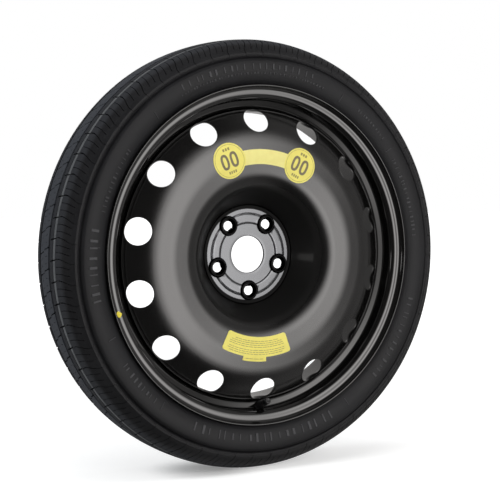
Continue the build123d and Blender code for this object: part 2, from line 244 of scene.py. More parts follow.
class Surface(Graph):
    """A material's shader tree with its Principled node and places on the piece."""

    def __init__(self, material: Material) -> None:
        """Clears the tree and adds the shader and the Object coordinates."""
        material.use_nodes = True
        super().__init__(material.node_tree)
        self.tree.nodes.clear()
        self.shader = self.node("ShaderNodeBsdfPrincipled")
        self.node("ShaderNodeOutputMaterial", {"Surface": self.shader.outputs[0]})
        self.place = self.node("ShaderNodeTexCoord").outputs["Object"]
        self.x, self.y, self.z = self.split(self.place)
        self.radius = self.length(self.x, self.z)

    def noise(self, scale: float, detail: float, roughness: float = 0.55) -> Val:
        """Noise between about 0 and 1, with its scale per metre."""
        sockets = {"Vector": self.place, "Scale": scale, "Detail": detail, "Roughness": roughness}
        return self.pick("ShaderNodeTexNoise", sockets, noise_dimensions="3D")

    def bump(self, height: Number, depth: float, strength: float) -> None:
        """Feeds a height in parts of a depth in metres to the shader's normal."""
        sockets = {"Height": height, "Distance": depth, "Strength": strength}
        self.feed(self.shader.inputs["Normal"], self.out("ShaderNodeBump", sockets))

    def set(self, **sockets: Any) -> None:
        """Sets or links the shader's inputs, with underscores for spaces."""
        for name, value in sockets.items():
            wide = (*value, 1.0) if isinstance(value, tuple) and len(value) == 3 else value
            self.feed(self.shader.inputs[name.replace("_", " ")], wide)


@dataclass(frozen=True)
class Finish:
    """A finish that a maker would name, made into one material."""

    name: str

    def material(self) -> Material:
        """The finish's material, made once."""
        label = f"{self.name} finish"
        found = bpy.data.materials.get(label)
        if found is None:
            found = bpy.data.materials.new(label)
            self.dress(Surface(found))
        return found

    def dress(self, surface: Surface) -> None:
        """Builds the shader; each finish has its own."""
        raise NotImplementedError


@dataclass(frozen=True)
class TyreRubber(Finish):
    """Charcoal tyre rubber: satin sidewall, duller tread, a paler rib and groove edges, and painted shade in the
    sidewall's recessed line.
    """

    name: str = "tyre_rubber"
    dark: Colour = (0.0070, 0.0070, 0.0080)
    bloom: Colour = (0.0130, 0.0130, 0.0145)
    dust: Colour = (0.0300, 0.0315, 0.0360)
    rib: Colour = (0.0560, 0.0600, 0.0700)
    rib_half: float = 0.0148
    band: Colour = (0.1050, 0.1080, 0.1120)
    band_low: float = 0.0292
    band_high: float = 0.0348
    tread_from: float = 0.318
    # Radius and half width of the sidewall's recessed line, which gets painted shade.
    recess_r: float = 0.2995
    recess_shade_half: float = 0.0017
    cloud_scale: float = 9.0
    grain_scale: float = 1400.0
    streak_scale: float = 60.0
    ring_scale: float = 5200.0
    side_roughness: float = 0.47
    tread_dulls: float = 0.26
    relief: float = 0.00016

    def dress(self, surface: Surface) -> None:
        """Mixes bloom into the rubber and adds grain and fine rings."""
        cloud = surface.noise(self.cloud_scale, 5.0, 0.6).rise(0.35, 0.7)
        grain = surface.noise(self.grain_scale, 2.0)
        tread = surface.radius.rise(self.tread_from, self.tread_from + 0.006)
        across = abs(surface.y)
        streak = surface.noise(self.streak_scale, 4.0).rise(0.25, 0.55)
        band = across.within(self.band_low, self.band_high, 0.0003) * tread * (0.55 + 0.45 * streak)
        rubber = surface.blend(0.75 * cloud + 0.25 * grain, self.dark, self.bloom)
        dust = surface.blend(across.rise(self.rib_half + 0.003, self.rib_half), self.dust, self.rib)
        rubber = surface.blend(0.8 * tread, rubber, dust)
        surface.set(Base_Color=surface.blend(band, rubber, self.band))
        surface.set(Roughness=self.side_roughness + self.tread_dulls * tread + 0.08 * cloud + 0.06 * grain)
        # Painted shade: the sidewall's recessed line is made darker with a near-black metallic sheen.
        recess_low, recess_high = self.recess_r - self.recess_shade_half, self.recess_r + self.recess_shade_half
        recess_shade = surface.radius.within(recess_low, recess_high, 0.0012)
        surface.set(Metallic=0.8 * recess_shade, Specular_IOR_Level=0.25)
        rings = surface.math("SINE", surface.radius * self.ring_scale) * (1.0 - tread)
        surface.bump(0.7 * grain + 0.18 * rings, self.relief, 0.55)


@dataclass(frozen=True)
class BlackPaint(Finish):
    """Dipped black paint on steel, with a faint orange peel and a clear top."""

    name: str = "black_paint"
    colour: Colour = (0.0026, 0.0025, 0.0025)
    haze: Colour = (0.0048, 0.0045, 0.0043)
    roughness: float = 0.24
    clear: float = 0.55
    clear_roughness: float = 0.12
    specular: float = 0.5
    patch_scale: float = 14.0
    peel_scale: float = 420.0
    peel: float = 0.00004
    bare: Colour = (0.110, 0.113, 0.120)
    bare_r: float = 0.0
    # Near-black colour for the collars (dark paint with painted shade) and for the ring at the wall's foot
    # (painted shade).
    dark_and_shade: Colour = (0.004, 0.004, 0.004)
    shade_ring_width: float = 0.0072
    wall: Point = (0.079, 0.107)
    bolt_r: float = 0.056
    bolts: int = 5
    bolt_start: float = 55.57
    collar_r: float = 0.0156

    def dress(self, surface: Surface) -> None:
        """Varies haze and gloss in soft patches, ripples the top and thins the paint over the hub; on the disc it
        also makes the bolt collars (dark paint with painted shade) and the ring at the wall's foot (painted shade)
        near black.
        """
        patch = surface.noise(self.patch_scale, 4.0)
        fine = surface.noise(self.peel_scale, 2.0)
        black = surface.blend(patch, self.colour, self.haze)
        wall, top = 0.0, 1.0
        # Painted shade: the collars and the ring at the wall's foot become near-black metal with no clear coat, so
        # they reflect almost nothing.
        if self.bare_r > 0.0:
            dark_and_shade = self.collar_and_shade_zone(surface)
            thin = (1.0 - surface.radius.rise(self.bare_r - 0.0006, self.bare_r + 0.0006)) * (1.0 - dark_and_shade)
            black = surface.blend(dark_and_shade, surface.blend(thin, black, self.bare), self.dark_and_shade)
            surface.set(Metallic=0.85 * thin + dark_and_shade)
            wall = surface.radius.within(*self.wall, 0.003)
            top = (1.0 - dark_and_shade) * (1.0 - 0.7 * wall)
        surface.set(Base_Color=black)
        surface.set(Roughness=self.roughness + 0.05 * (patch - 0.5) + 0.03 * (fine - 0.5) + 0.25 * wall)
        surface.set(Coat_Weight=self.clear * (0.85 + 0.3 * patch) * top, Coat_Roughness=self.clear_roughness)
        surface.set(Specular_IOR_Level=self.specular)
        surface.bump(fine, self.peel, 0.5)

    def collar_and_shade_zone(self, surface: Surface) -> Val:
        """A mask of the bolt collars, dark paint with painted shade, and of the ring at the foot of the hub's
        wall, which is painted shade.
        """
        turn = surface.math("ARCTAN2", surface.z, surface.x) - math.radians(self.bolt_start)
        apart = surface.math("PINGPONG", turn, math.pi / self.bolts)
        across = surface.radius * surface.math("SINE", apart)
        along = surface.radius * surface.math("COSINE", apart) - self.bolt_r
        clear = surface.length(across, along).rise(self.collar_r - 0.0005, self.collar_r + 0.0005)
        edge = surface.radius.within(self.bare_r, self.bare_r + self.shade_ring_width, 0.0006)
        return 1.0 - clear * (1.0 - edge)


@dataclass(frozen=True)
class PatchyFinish(Finish):
    """A finish with soft patches of a second colour and a fine grain."""

    colour: Colour
    second: Colour
    roughness: float
    patch_scale: float
    patch_range: Point
    grain_scale: float
    grain_depth: float
    patch_detail: float = 4.0
    patch_share: float = 1.0
    patch_dulls: float = 0.0
    grain_detail: float = 2.0
    grain_dulls: float = 0.08
    grain_strength: float = 0.5
    metallic: float = 0.0
    specular: float = 0.5

    def dress(self, surface: Surface) -> None:
        """Blends the colours in patches and lets patches and grain change the gloss."""
        patch = surface.noise(self.patch_scale, self.patch_detail).rise(*self.patch_range)
        grain = surface.noise(self.grain_scale, self.grain_detail)
        surface.set(Base_Color=surface.blend(self.patch_share * patch, self.colour, self.second))
        surface.set(Roughness=self.roughness + self.patch_dulls * patch + self.grain_dulls * (grain - 0.5))
        surface.set(Metallic=self.metallic, Specular_IOR_Level=self.specular)
        surface.bump(grain, self.grain_depth, self.grain_strength)


@dataclass(frozen=True)
class StickerFilm(PatchyFinish):
    """Printed plastic film, slightly mottled and with a fine tooth."""

    name: str = "sticker_film"
    colour: Colour = (0.83, 0.74, 0.165)
    second: Colour = (0.77, 0.68, 0.15)
    roughness: float = 0.42
    patch_scale: float = 90.0
    patch_range: Point = (0.3, 0.75)
    grain_scale: float = 2600.0
    grain_depth: float = 0.00002
    grain_strength: float = 0.4
    specular: float = 0.4


@dataclass(frozen=True)
class MouldedRubber(PatchyFinish):
    """Small moulded rubber or plastic pieces with dust in patches."""

    name: str = "moulded_rubber"
    colour: Colour = (0.0085, 0.0085, 0.0090)
    second: Colour = (0.0200, 0.0195, 0.0190)
    roughness: float = 0.5
    patch_scale: float = 160.0
    patch_range: Point = (0.4, 0.8)
    grain_scale: float = 5200.0
    grain_depth: float = 0.00003
    patch_detail: float = 3.0
    patch_share: float = 0.6
    patch_dulls: float = 0.1


@dataclass(frozen=True)
class TurnedMetal(PatchyFinish):
    """Turned or drawn metal with tarnish in patches and fine tool lines."""

    name: str = "valve_brass"
    colour: Colour = (0.62, 0.44, 0.16)
    second: Colour = (0.38, 0.26, 0.10)
    roughness: float = 0.3
    patch_scale: float = 300.0
    patch_range: Point = (0.35, 0.75)
    grain_scale: float = 9000.0
    grain_depth: float = 0.00001
    patch_share: float = 0.7
    patch_dulls: float = 0.15
    grain_detail: float = 1.0
    grain_dulls: float = 0.06
    metallic: float = 1.0


TYRE_RUBBER = TyreRubber()
MARK_RUBBER = TyreRubber("mark_rubber", (0.042, 0.042, 0.045), (0.060, 0.060, 0.064))
RIM_PAINT = BlackPaint("rim_paint", roughness=0.11, clear=0.75, clear_roughness=0.04)
# On the disc, painted shade darkens the bolt collars and the ring at the foot of the hub's wall.
DISC_PAINT = BlackPaint("disc_paint", bare_r=0.0706)
# Matte, low-gloss paint on the inboard barrel so that it reads darker through the vents: painted shade.
BARREL_SHADE_PAINT = BlackPaint("barrel_paint", (0.016, 0.016, 0.017), (0.025, 0.025, 0.026),
                          roughness=0.7, clear=0.0, specular=0.15)
WELD_PAINT = BlackPaint("weld_paint", roughness=0.34, clear=0.25, peel=0.0002)
YELLOW_FILM = StickerFilm()
PALE_FILM = StickerFilm("sticker_pale", (0.85, 0.78, 0.27), (0.80, 0.72, 0.24))
PRINT_INK = StickerFilm("sticker_ink", (0.150, 0.125, 0.075), (0.190, 0.160, 0.090), 0.5)
FINE_INK = StickerFilm("sticker_fine_ink", (0.26, 0.22, 0.07), (0.31, 0.27, 0.09), 0.5)
MARK_PAINT = StickerFilm("mark_paint", (0.85, 0.72, 0.05), (0.72, 0.58, 0.05), 0.35)
VALVE_RUBBER = MouldedRubber("valve_rubber")
CAP_PLASTIC = MouldedRubber("cap_plastic", (0.0075, 0.0075, 0.0080), (0.0150, 0.0150, 0.0150), 0.38)
SEAL_RUBBER = MouldedRubber("seal_rubber", (0.016, 0.015, 0.014), (0.030, 0.028, 0.026), 0.6)
VALVE_BRASS = TurnedMetal()
PIN_BRASS = TurnedMetal("pin_brass", (0.66, 0.50, 0.22), (0.44, 0.32, 0.14), 0.24)
SPRING_STEEL = TurnedMetal("spring_steel", (0.52, 0.52, 0.53), (0.36, 0.35, 0.34), 0.26)
BEAD_WIRE = TurnedMetal("bead_wire", (0.45, 0.36, 0.22), (0.28, 0.22, 0.14), 0.4)


class SectionLine:
    """A line in a section: straight runs joined by tangent arcs."""

    def __init__(self, corners: Sequence[Point], rounds: Sequence[float]) -> None:
        """Works out the runs and arcs.

        Args:
            corners: (radius, axial place) of each corner.
            rounds: the radius at each inner corner.
        """
        self.pieces: list[tuple] = []
        self.length = 0.0
        points = [np.array(corner, float) for corner in corners]
        start = points[0]
        for i in range(1, len(points) - 1):
            into = points[i] - points[i - 1]
            away = points[i + 1] - points[i]
            into, away = into / np.linalg.norm(into), away / np.linalg.norm(away)
            turn = math.atan2(into[0] * away[1] - into[1] * away[0], float(into @ away))
            radius = rounds[i - 1]
            reach = radius * math.tan(abs(turn) / 2)
            side = math.copysign(1.0, turn)
            first = points[i] - into * reach
            self._run(start, first)
            centre = first + side * radius * np.array([-into[1], into[0]])
            spoke = first - centre
            self._add("bend", radius * abs(turn), centre, math.atan2(spoke[1], spoke[0]), side, radius)
            start = points[i] + away * reach
        self._run(start, points[-1])

    def _add(self, kind: str, length: float, *facts: Any) -> None:
        """Adds a piece at the line's end."""
        self.pieces.append((kind, self.length, length, facts))
        self.length += length

    def _run(self, start: Array, end: Array) -> None:
        """Adds a straight run."""
        length = float(np.linalg.norm(end - start))
        self._add("run", length, start, (end - start) / length)

    def at(self, distance: Any) -> tuple[Array, Array]:
        """Points and left-hand normals at distances along the line.

        Args:
            distance: distances from the line's start.

        Returns:
            Points and normals, each with a last axis of two.
        """
        s = np.clip(np.asarray(distance, float), 0.0, self.length)
        place = np.zeros((*s.shape, 2))
        normal = np.zeros((*s.shape, 2))
        for kind, start, length, facts in self.pieces:
            here = (s >= start - 1e-9) & (s <= start + length + 1e-9)
            t = s[here] - start
            if kind == "run":
                origin, way = facts
                place[here] = origin + t[:, None] * way
                normal[here] = (-way[1], way[0])
            else:
                centre, first, side, radius = facts
                angle = first + side * t / radius
                spoke = np.stack([np.cos(angle), np.sin(angle)], -1)
                place[here] = centre + radius * spoke
                normal[here] = -side * spoke
        return place, normal

    def stations(self, low: float, high: float, arc_step: float, run_step: float, lead: float = 0.4) -> Array:
        """Distances at which rows of a mesh go: close together round the arcs and beside them.

        Args:
            low: first distance.
            high: last distance.
            arc_step: largest turn between rows, in degrees.
            run_step: largest step on a straight run.
            lead: how far from an arc the first row on a run is.

        Returns:
            Rising distances from low to high.
        """
        found = [low, high]
        for kind, start, length, facts in self.pieces:
            if kind == "run":
                steps = max(2, math.ceil(length / run_step) + 1)
                inner = np.linspace(start + lead, start + length - lead, steps)
                found += [start, start + length, *(inner if length > 3 * lead else [])]
            else:
                steps = max(3, math.ceil(math.degrees(length / facts[3]) / arc_step) + 1)
                found += list(start + length * np.linspace(0, 1, steps))
        inside = np.unique(np.clip(found, low, high))
        return inside[np.concatenate([[True], np.diff(inside) > 0.02])]

    def nearest(self, places: Array) -> tuple[Array, Array]:
        """Distances along the line nearest to points, and how far to its left the points lie."""
        s = np.linspace(0.0, self.length, LINE_SAMPLES)
        line, normal = self.at(s)
        best = np.argmin(((places[:, None, :] - line[None]) ** 2).sum(-1), axis=1)
        apart = places - line[best]
        along = np.stack([normal[best][:, 1], -normal[best][:, 0]], -1)
        return s[best] + (apart * along).sum(-1), (apart * normal[best]).sum(-1)


def arc_through(a: Point, b: Point, c: Point, count: int) -> list[Point]:
    """Points on the arc from a through b to c.

    Args:
        a: first point.
        b: a point on the arc.
        c: last point.
        count: number of steps.

    Returns:
        count + 1 points, both ends included.
    """
    (ax, ay), (bx, by), (cx, cy) = a, b, c
    d = 2 * (ax * (by - cy) + bx * (cy - ay) + cx * (ay - by))
    ux = ((ax**2 + ay**2) * (by - cy) + (bx**2 + by**2) * (cy - ay) + (cx**2 + cy**2) * (ay - by)) / d
    uy = ((ax**2 + ay**2) * (cx - bx) + (bx**2 + by**2) * (ax - cx) + (cx**2 + cy**2) * (bx - ax)) / d
    radius = math.hypot(ax - ux, ay - uy)
    first = math.atan2(ay - uy, ax - ux)
    turn = (math.atan2(cy - uy, cx - ux) - first + math.pi) % math.tau - math.pi
    angles = [first + turn * i / count for i in range(count + 1)]
    return [(ux + radius * math.cos(angle), uy + radius * math.sin(angle)) for angle in angles]


def full_turn(count: int) -> Array:
    """Even angles round a circle, in radians."""
    return np.linspace(0, math.tau, count, endpoint=False)


def place_by_axes(x: Vector, y: Vector, z: Vector, origin: Vector) -> Matrix:
    """A place given by its three axes and its origin."""
    made = Matrix((x, y, z)).transposed().to_4x4()
    made.translation = origin
    return made


def about_axis(radius: Any, axial: Any, angle: Any) -> Array:
    """Points at radii, axial places and angles round the wheel's axis, with a last axis of three."""
    turn = np.radians(angle)
    return np.stack([radius * np.cos(turn), axial + 0 * turn, radius * np.sin(turn)], -1)


class Shell:
    """Collects grids of points, in millimetres, and makes a mesh of them."""

    def __init__(self) -> None:
        """Starts empty."""
        self.points: list[Triple] = []
        self.faces: list[tuple[int, ...]] = []

    def grid(self, rows: Array, closed: bool = False) -> "Shell":
        """Adds quads over rows of points.

        Args:
            rows: an array of rows, columns and coordinates.
            closed: whether the last column joins the first.

        Returns:
            The shell itself.
        """
        count, across = rows.shape[:2]
        base = len(self.points)
        self.points += [tuple(p) for p in rows.reshape(-1, 3)]
        for i in range(count - 1):
            for j in range(across if closed else across - 1):
                k = (j + 1) % across
                self.faces.append((base + i * across + j, base + i * across + k,
                                   base + (i + 1) * across + k, base + (i + 1) * across + j))
        return self

    def lathe(self, section: Sequence[Point], angles: Array) -> "Shell":
        """Adds a section turned about the wheel's axis, at one angle for each column."""
        line = np.array(section, float)
        return self.grid(about_axis(line[:, 0, None], line[:, 1, None], angles), closed=True)

    def cap(self, across: int) -> "Shell":
        """Closes both ends of a tube whose rows have a number of points."""
        count = len(self.points)
        self.faces += [tuple(range(across))[::-1], tuple(range(count - across, count))]
        return self

    def mesh(self, name: str, merge: bool = True) -> Mesh:
        """The collected faces as a mesh in metres, welded and facing outwards."""
        made = bpy.data.meshes.new(name)
        made.from_pydata([(x * MM, y * MM, z * MM) for x, y, z in self.points], [], self.faces)
        if merge:
            tidy(made)
        return made


@contextmanager
def edited(mesh: Mesh) -> Iterator[bmesh.types.BMesh]:
    """A mesh opened for edits, and written back when they are done."""
    work = bmesh.new()
    work.from_mesh(mesh)
    yield work
    work.to_mesh(mesh)
    work.free()


def tidy(mesh: Mesh) -> None:
    """Welds a mesh's doubles, drops faces without area and turns the rest outwards."""
    with edited(mesh) as work:
        bmesh.ops.remove_doubles(work, verts=work.verts, dist=WELD_DISTANCE)
        bmesh.ops.dissolve_degenerate(work, edges=work.edges, dist=WELD_DISTANCE / 4)
        bmesh.ops.recalc_face_normals(work, faces=work.faces)


def join(mesh: Mesh, other: Mesh) -> None:
    """Adds another mesh's faces to a mesh."""
    with edited(mesh) as work:
        work.from_mesh(other)


def shade(mesh: Mesh, crease: Optional[float] = None) -> None:
    """Shades a mesh smooth, with sharp edges above a crease angle where one is given."""
    mesh.polygons.foreach_set("use_smooth", [True] * len(mesh.polygons))
    if crease is not None:
        mesh.set_sharp_from_angle(angle=math.radians(crease))
    mesh.update()


def put(name: str, mesh: Mesh, finishes: Sequence[Finish] = ()) -> Piece:
    """Links a mesh to the scene as an object at the origin, with its materials."""
    made = bpy.data.objects.new(name, mesh)
    bpy.context.scene.collection.objects.link(made)
    for finish in finishes:
        mesh.materials.append(finish.material())
    return made


def settle(piece: Piece, body: Body, node: str) -> Piece:
    """Makes a finished piece ride on a body and stand for a node, hiding the node's own part."""
    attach(piece, body.value)
    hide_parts(node)
    LOG.info("%s: %d faces on %s", piece.name, len(piece.data.polygons), body.value)
    return piece


def present(mesh: Mesh, finishes: Sequence[Finish], crease: Optional[float], body: Body,
            node: str) -> Piece:
    """Makes a finished piece of a mesh.

    Args:
        mesh: the mesh, whose name the piece takes.
        finishes: its materials in order.
        crease: the angle above which edges are sharp, if any are.
        body: the body that it rides on.
        node: the node that it stands for.

    Returns:
        The piece.
    """
    shade(mesh, crease)
    return settle(put(mesh.name, mesh, finishes), body, node)


class RepeatTree:
    """Base of the geometry trees that repeat a block."""

    def __init__(self, name: str, **inputs: str) -> None:
        """Adds the group with its named inputs.

        Args:
            name: the group's name.
            inputs: the kind of each input that only this tree has.
        """
        self.tree = bpy.data.node_groups.new(name, "GeometryNodeTree")
        face = self.tree.interface
        face.new_socket("Geometry", in_out="INPUT", socket_type="NodeSocketGeometry")
        kinds = {"Block": "Object", "Weld distance": "Float", "Finish": "Material", **inputs}
        self.ids = {label: face.new_socket(label, in_out="INPUT", socket_type=f"NodeSocket{kind}").identifier
                    for label, kind in kinds.items()}
        face.new_socket("Geometry", in_out="OUTPUT", socket_type="NodeSocketGeometry")
        self.graph = Graph(self.tree)
        self.given = self.graph.node("NodeGroupInput").outputs

    def value(self, label: str) -> Val:
        """A number input, for arithmetic."""
        return Val(self.graph, self.given[label])

    def copies(self, points: Socket, **sockets: Any) -> Socket:
        """The block's real copies on points."""
        block = self.graph.node("GeometryNodeObjectInfo", {"Object": self.given["Block"]}).outputs["Geometry"]
        made = self.graph.out("GeometryNodeInstanceOnPoints", {"Points": points, "Instance": block, **sockets})
        return self.graph.out("GeometryNodeRealizeInstances", {0: made})

    def close(self, geometry: Socket) -> None:
        """Ends the tree in a weld, the material and the output."""
        graph, given = self.graph, self.given
        weld = graph.out("GeometryNodeMergeByDistance", {
            "Geometry": geometry, "Distance": given["Weld distance"]})
        dressed = graph.out("GeometryNodeSetMaterial", {"Geometry": weld, "Material": given["Finish"]})
        graph.node("NodeGroupOutput", {0: dressed})

    def apply(self, base: Piece, block: Piece, finish: Finish, **inputs: Any) -> Mesh:
        """Runs the tree on an object, removes the block and returns the plain mesh.

        Args:
            base: the object whose mesh the tree starts from.
            block: the object that is repeated.
            finish: the mesh's finish.
            inputs: values of the inputs that only this tree has.

        Returns:
            A new mesh; the base object keeps no modifier.
        """
        modifier = base.modifiers.new("repeat", "NODES")
        modifier.node_group = self.tree
        inputs = {"Block": block, "Weld distance": WELD_DISTANCE, "Finish": finish.material(), **inputs}
        for label, value in inputs.items():
            modifier[self.ids[label]] = value
        bpy.context.view_layer.update()
        made = bpy.data.meshes.new_from_object(base.evaluated_get(bpy.context.evaluated_depsgraph_get()))
        base.modifiers.remove(modifier)
        bpy.data.objects.remove(block)
        made.materials.clear()
        made.materials.append(finish.material())
        made.polygons.foreach_set("material_index", [0] * len(made.polygons))
        return made


class RingTree(RepeatTree):
    """Repeats a block round the wheel's axis and welds it to the given geometry."""

    def __init__(self) -> None:
        """Builds the tree."""
        super().__init__("ring_of_blocks", Count="Int", Start="Float")
        graph = self.graph
        angle = graph.pick("GeometryNodeInputIndex") / self.value("Count") * math.tau + self.value("Start")
        euler = graph.out("ShaderNodeCombineXYZ", {"Y": 0.0 - angle})
        points = graph.out("GeometryNodePoints", {"Count": self.given["Count"]})
        copies = self.copies(points, Rotation=graph.out("FunctionNodeEulerToRotation", {0: euler}))
        joined = graph.node("GeometryNodeJoinGeometry", {0: self.given["Geometry"]})
        graph.feed(joined.inputs[0], copies)
        self.close(joined.outputs[0])


class TreadTree(RepeatTree):
    """Lays pitch blocks in a row and wraps the row round the wheel with a wave in its spacing."""

    def __init__(self) -> None:
        """Builds the tree."""
        numbers = ("Step", "Start", "Wave", "Waves", "Phase")
        super().__init__("wrapped_pitches", **dict.fromkeys(numbers, "Float"))
        graph = self.graph
        along, across, radius = graph.split(graph.out("GeometryNodeInputPosition"))
        even = along * self.value("Step")
        swing = graph.math("SINE", even * self.value("Waves") + self.value("Phase"))
        angle = even + swing * self.value("Wave") + self.value("Start")
        place = graph.out("ShaderNodeCombineXYZ", {
            "X": radius * graph.math("COSINE", angle), "Y": across, "Z": radius * graph.math("SINE", angle)})
        copies = self.copies(self.given["Geometry"])
        self.close(graph.out("GeometryNodeSetPosition", {"Geometry": copies, "Position": place}))


class ScatterTree(RepeatTree):
    """Puts a block on every point, turned and sized by the points' own attributes."""

    def __init__(self) -> None:
        """Builds the tree."""
        super().__init__("placed_blocks")
        graph = self.graph
        turn, size = (graph.out("GeometryNodeInputNamedAttribute", {"Name": name}, data_type="FLOAT_VECTOR")
                      for name in ("turn", "size"))
        turned = graph.out("FunctionNodeEulerToRotation", {0: turn})
        self.close(self.copies(self.given["Geometry"], Rotation=turned, Scale=size))

    def scatter(self, places: Sequence[Matrix], block: Piece, finish: Finish) -> Mesh:
        """Copies a block to places.

        Args:
            places: a matrix for each copy, with its scale.
            block: the object to copy.
            finish: the copies' finish.

        Returns:
            One mesh of all the copies.
        """
        points = bpy.data.meshes.new("places")
        points.from_pydata([tuple(place.translation) for place in places], [], [])
        for name, values in (("turn", [place.to_euler() for place in places]),
                             ("size", [place.to_scale() for place in places])):
            attribute = points.attributes.new(name, "FLOAT_VECTOR", "POINT")
            attribute.data.foreach_set("vector", [x for value in values for x in value])
        carrier = put("places", points)
        made = self.apply(carrier, block, finish)
        bpy.data.objects.remove(carrier)
        return made


def rounded_bar(length: float, width: float, height: float, round_off: float) -> Mesh:
    """A low bar on the XY plane with softened top edges, in metres, centred at the origin."""
    rows = []
    for inset, level in ((0.0, -1.0), (0.0, 1.0 - round_off), (0.3 * round_off, 1.0 - 0.3 * round_off),
                         (round_off, 1.0)):
        x, y = length / 2 - inset * height, width / 2 - inset * height
        rows.append([(i * x, j * y, level * height) for i, j in ((1, 1), (-1, 1), (-1, -1), (1, -1))])
    return Shell().grid(np.array(rows) / MM, closed=True).cap(4).mesh("bar")


@dataclass
class RolledRim:
    """The rolled rim: two flanges, two bead seats and a drop well."""

    thickness: float = 2.6
    half_width: float = 50.8
    seat_r: float = 241.3
    seat_taper: float = 5.0
    seat_width: float = 20.8
    flange_height: float = 17.3
    flange_reach: float = 11.6
    flange_round: float = 9.5
    heel_round: float = 6.5
    seat_round: float = 6.0
    well_depth: float = 15.9
    well_round: float = 7.0
    outboard_slope: float = 5.6
    inboard_slope: float = 13.0
    columns: int = 360

    def __post_init__(self) -> None:
        """Draws the rim's outer line."""
        self.seat_end_y = seat_end_y = self.half_width - self.seat_width
        self.well_r = self.seat_r - self.well_depth
        self.seat_end_r = self.seat_r - self.seat_width * math.tan(math.radians(self.seat_taper))
        flange_r, tip_y = self.seat_r + self.flange_height, self.half_width + self.flange_reach
        corners = [
            (flange_r, -tip_y), (flange_r, -self.half_width), (self.seat_r, -self.half_width),
            (self.seat_end_r, -seat_end_y), (self.well_r, self.outboard_slope - seat_end_y),
            (self.well_r, seat_end_y - self.inboard_slope), (self.seat_end_r, seat_end_y),
            (self.seat_r, self.half_width), (flange_r, self.half_width), (flange_r, tip_y)]
        half = [self.flange_round, self.heel_round, self.seat_round, self.well_round]
        self.line = SectionLine(corners, half + half[::-1])

    def section(self) -> list[Point]:
        """The rim's closed section, with both edges rounded."""
        edge = self.thickness / 2
        s = self.line.stations(edge, self.line.length - edge, 6.0, 8.0, 0.5)
        place, normal = self.line.at(s)
        caps = []
        for end, way in ((-1, 1.0), (0, -1.0)):
            middle = place[end] + normal[end] * edge
            along = np.array([normal[end][1], -normal[end][0]]) * way
            for angle in np.radians(np.linspace(-70, 70, 8)):
                across = normal[end] * (math.sin(angle) * way)
                caps.append(tuple(middle + edge * (across + along * math.cos(angle))))
        inner = place + normal * self.thickness
        return [tuple(p) for p in place] + caps[:8] + [tuple(p) for p in inner[::-1]] + caps[8:]

    def build(self) -> Piece:
        """Builds and dresses the rim."""
        section = self.section()
        angles = np.linspace(0, 360, self.columns, endpoint=False)
        mesh = Shell().lathe(section + section[:1], angles).mesh("rim_steel")
        # Faces on the inboard barrel take the matte paint that stands for painted shade seen through the vents.
        dark_and_shade = (self.half_width - 2 * self.thickness) * MM
        mesh.polygons.foreach_set("material_index", [int(0.0 < face.center.y < dark_and_shade) for face in mesh.polygons])
        return present(mesh, [RIM_PAINT, BARREL_SHADE_PAINT], None, Body.WHEEL, "rim")


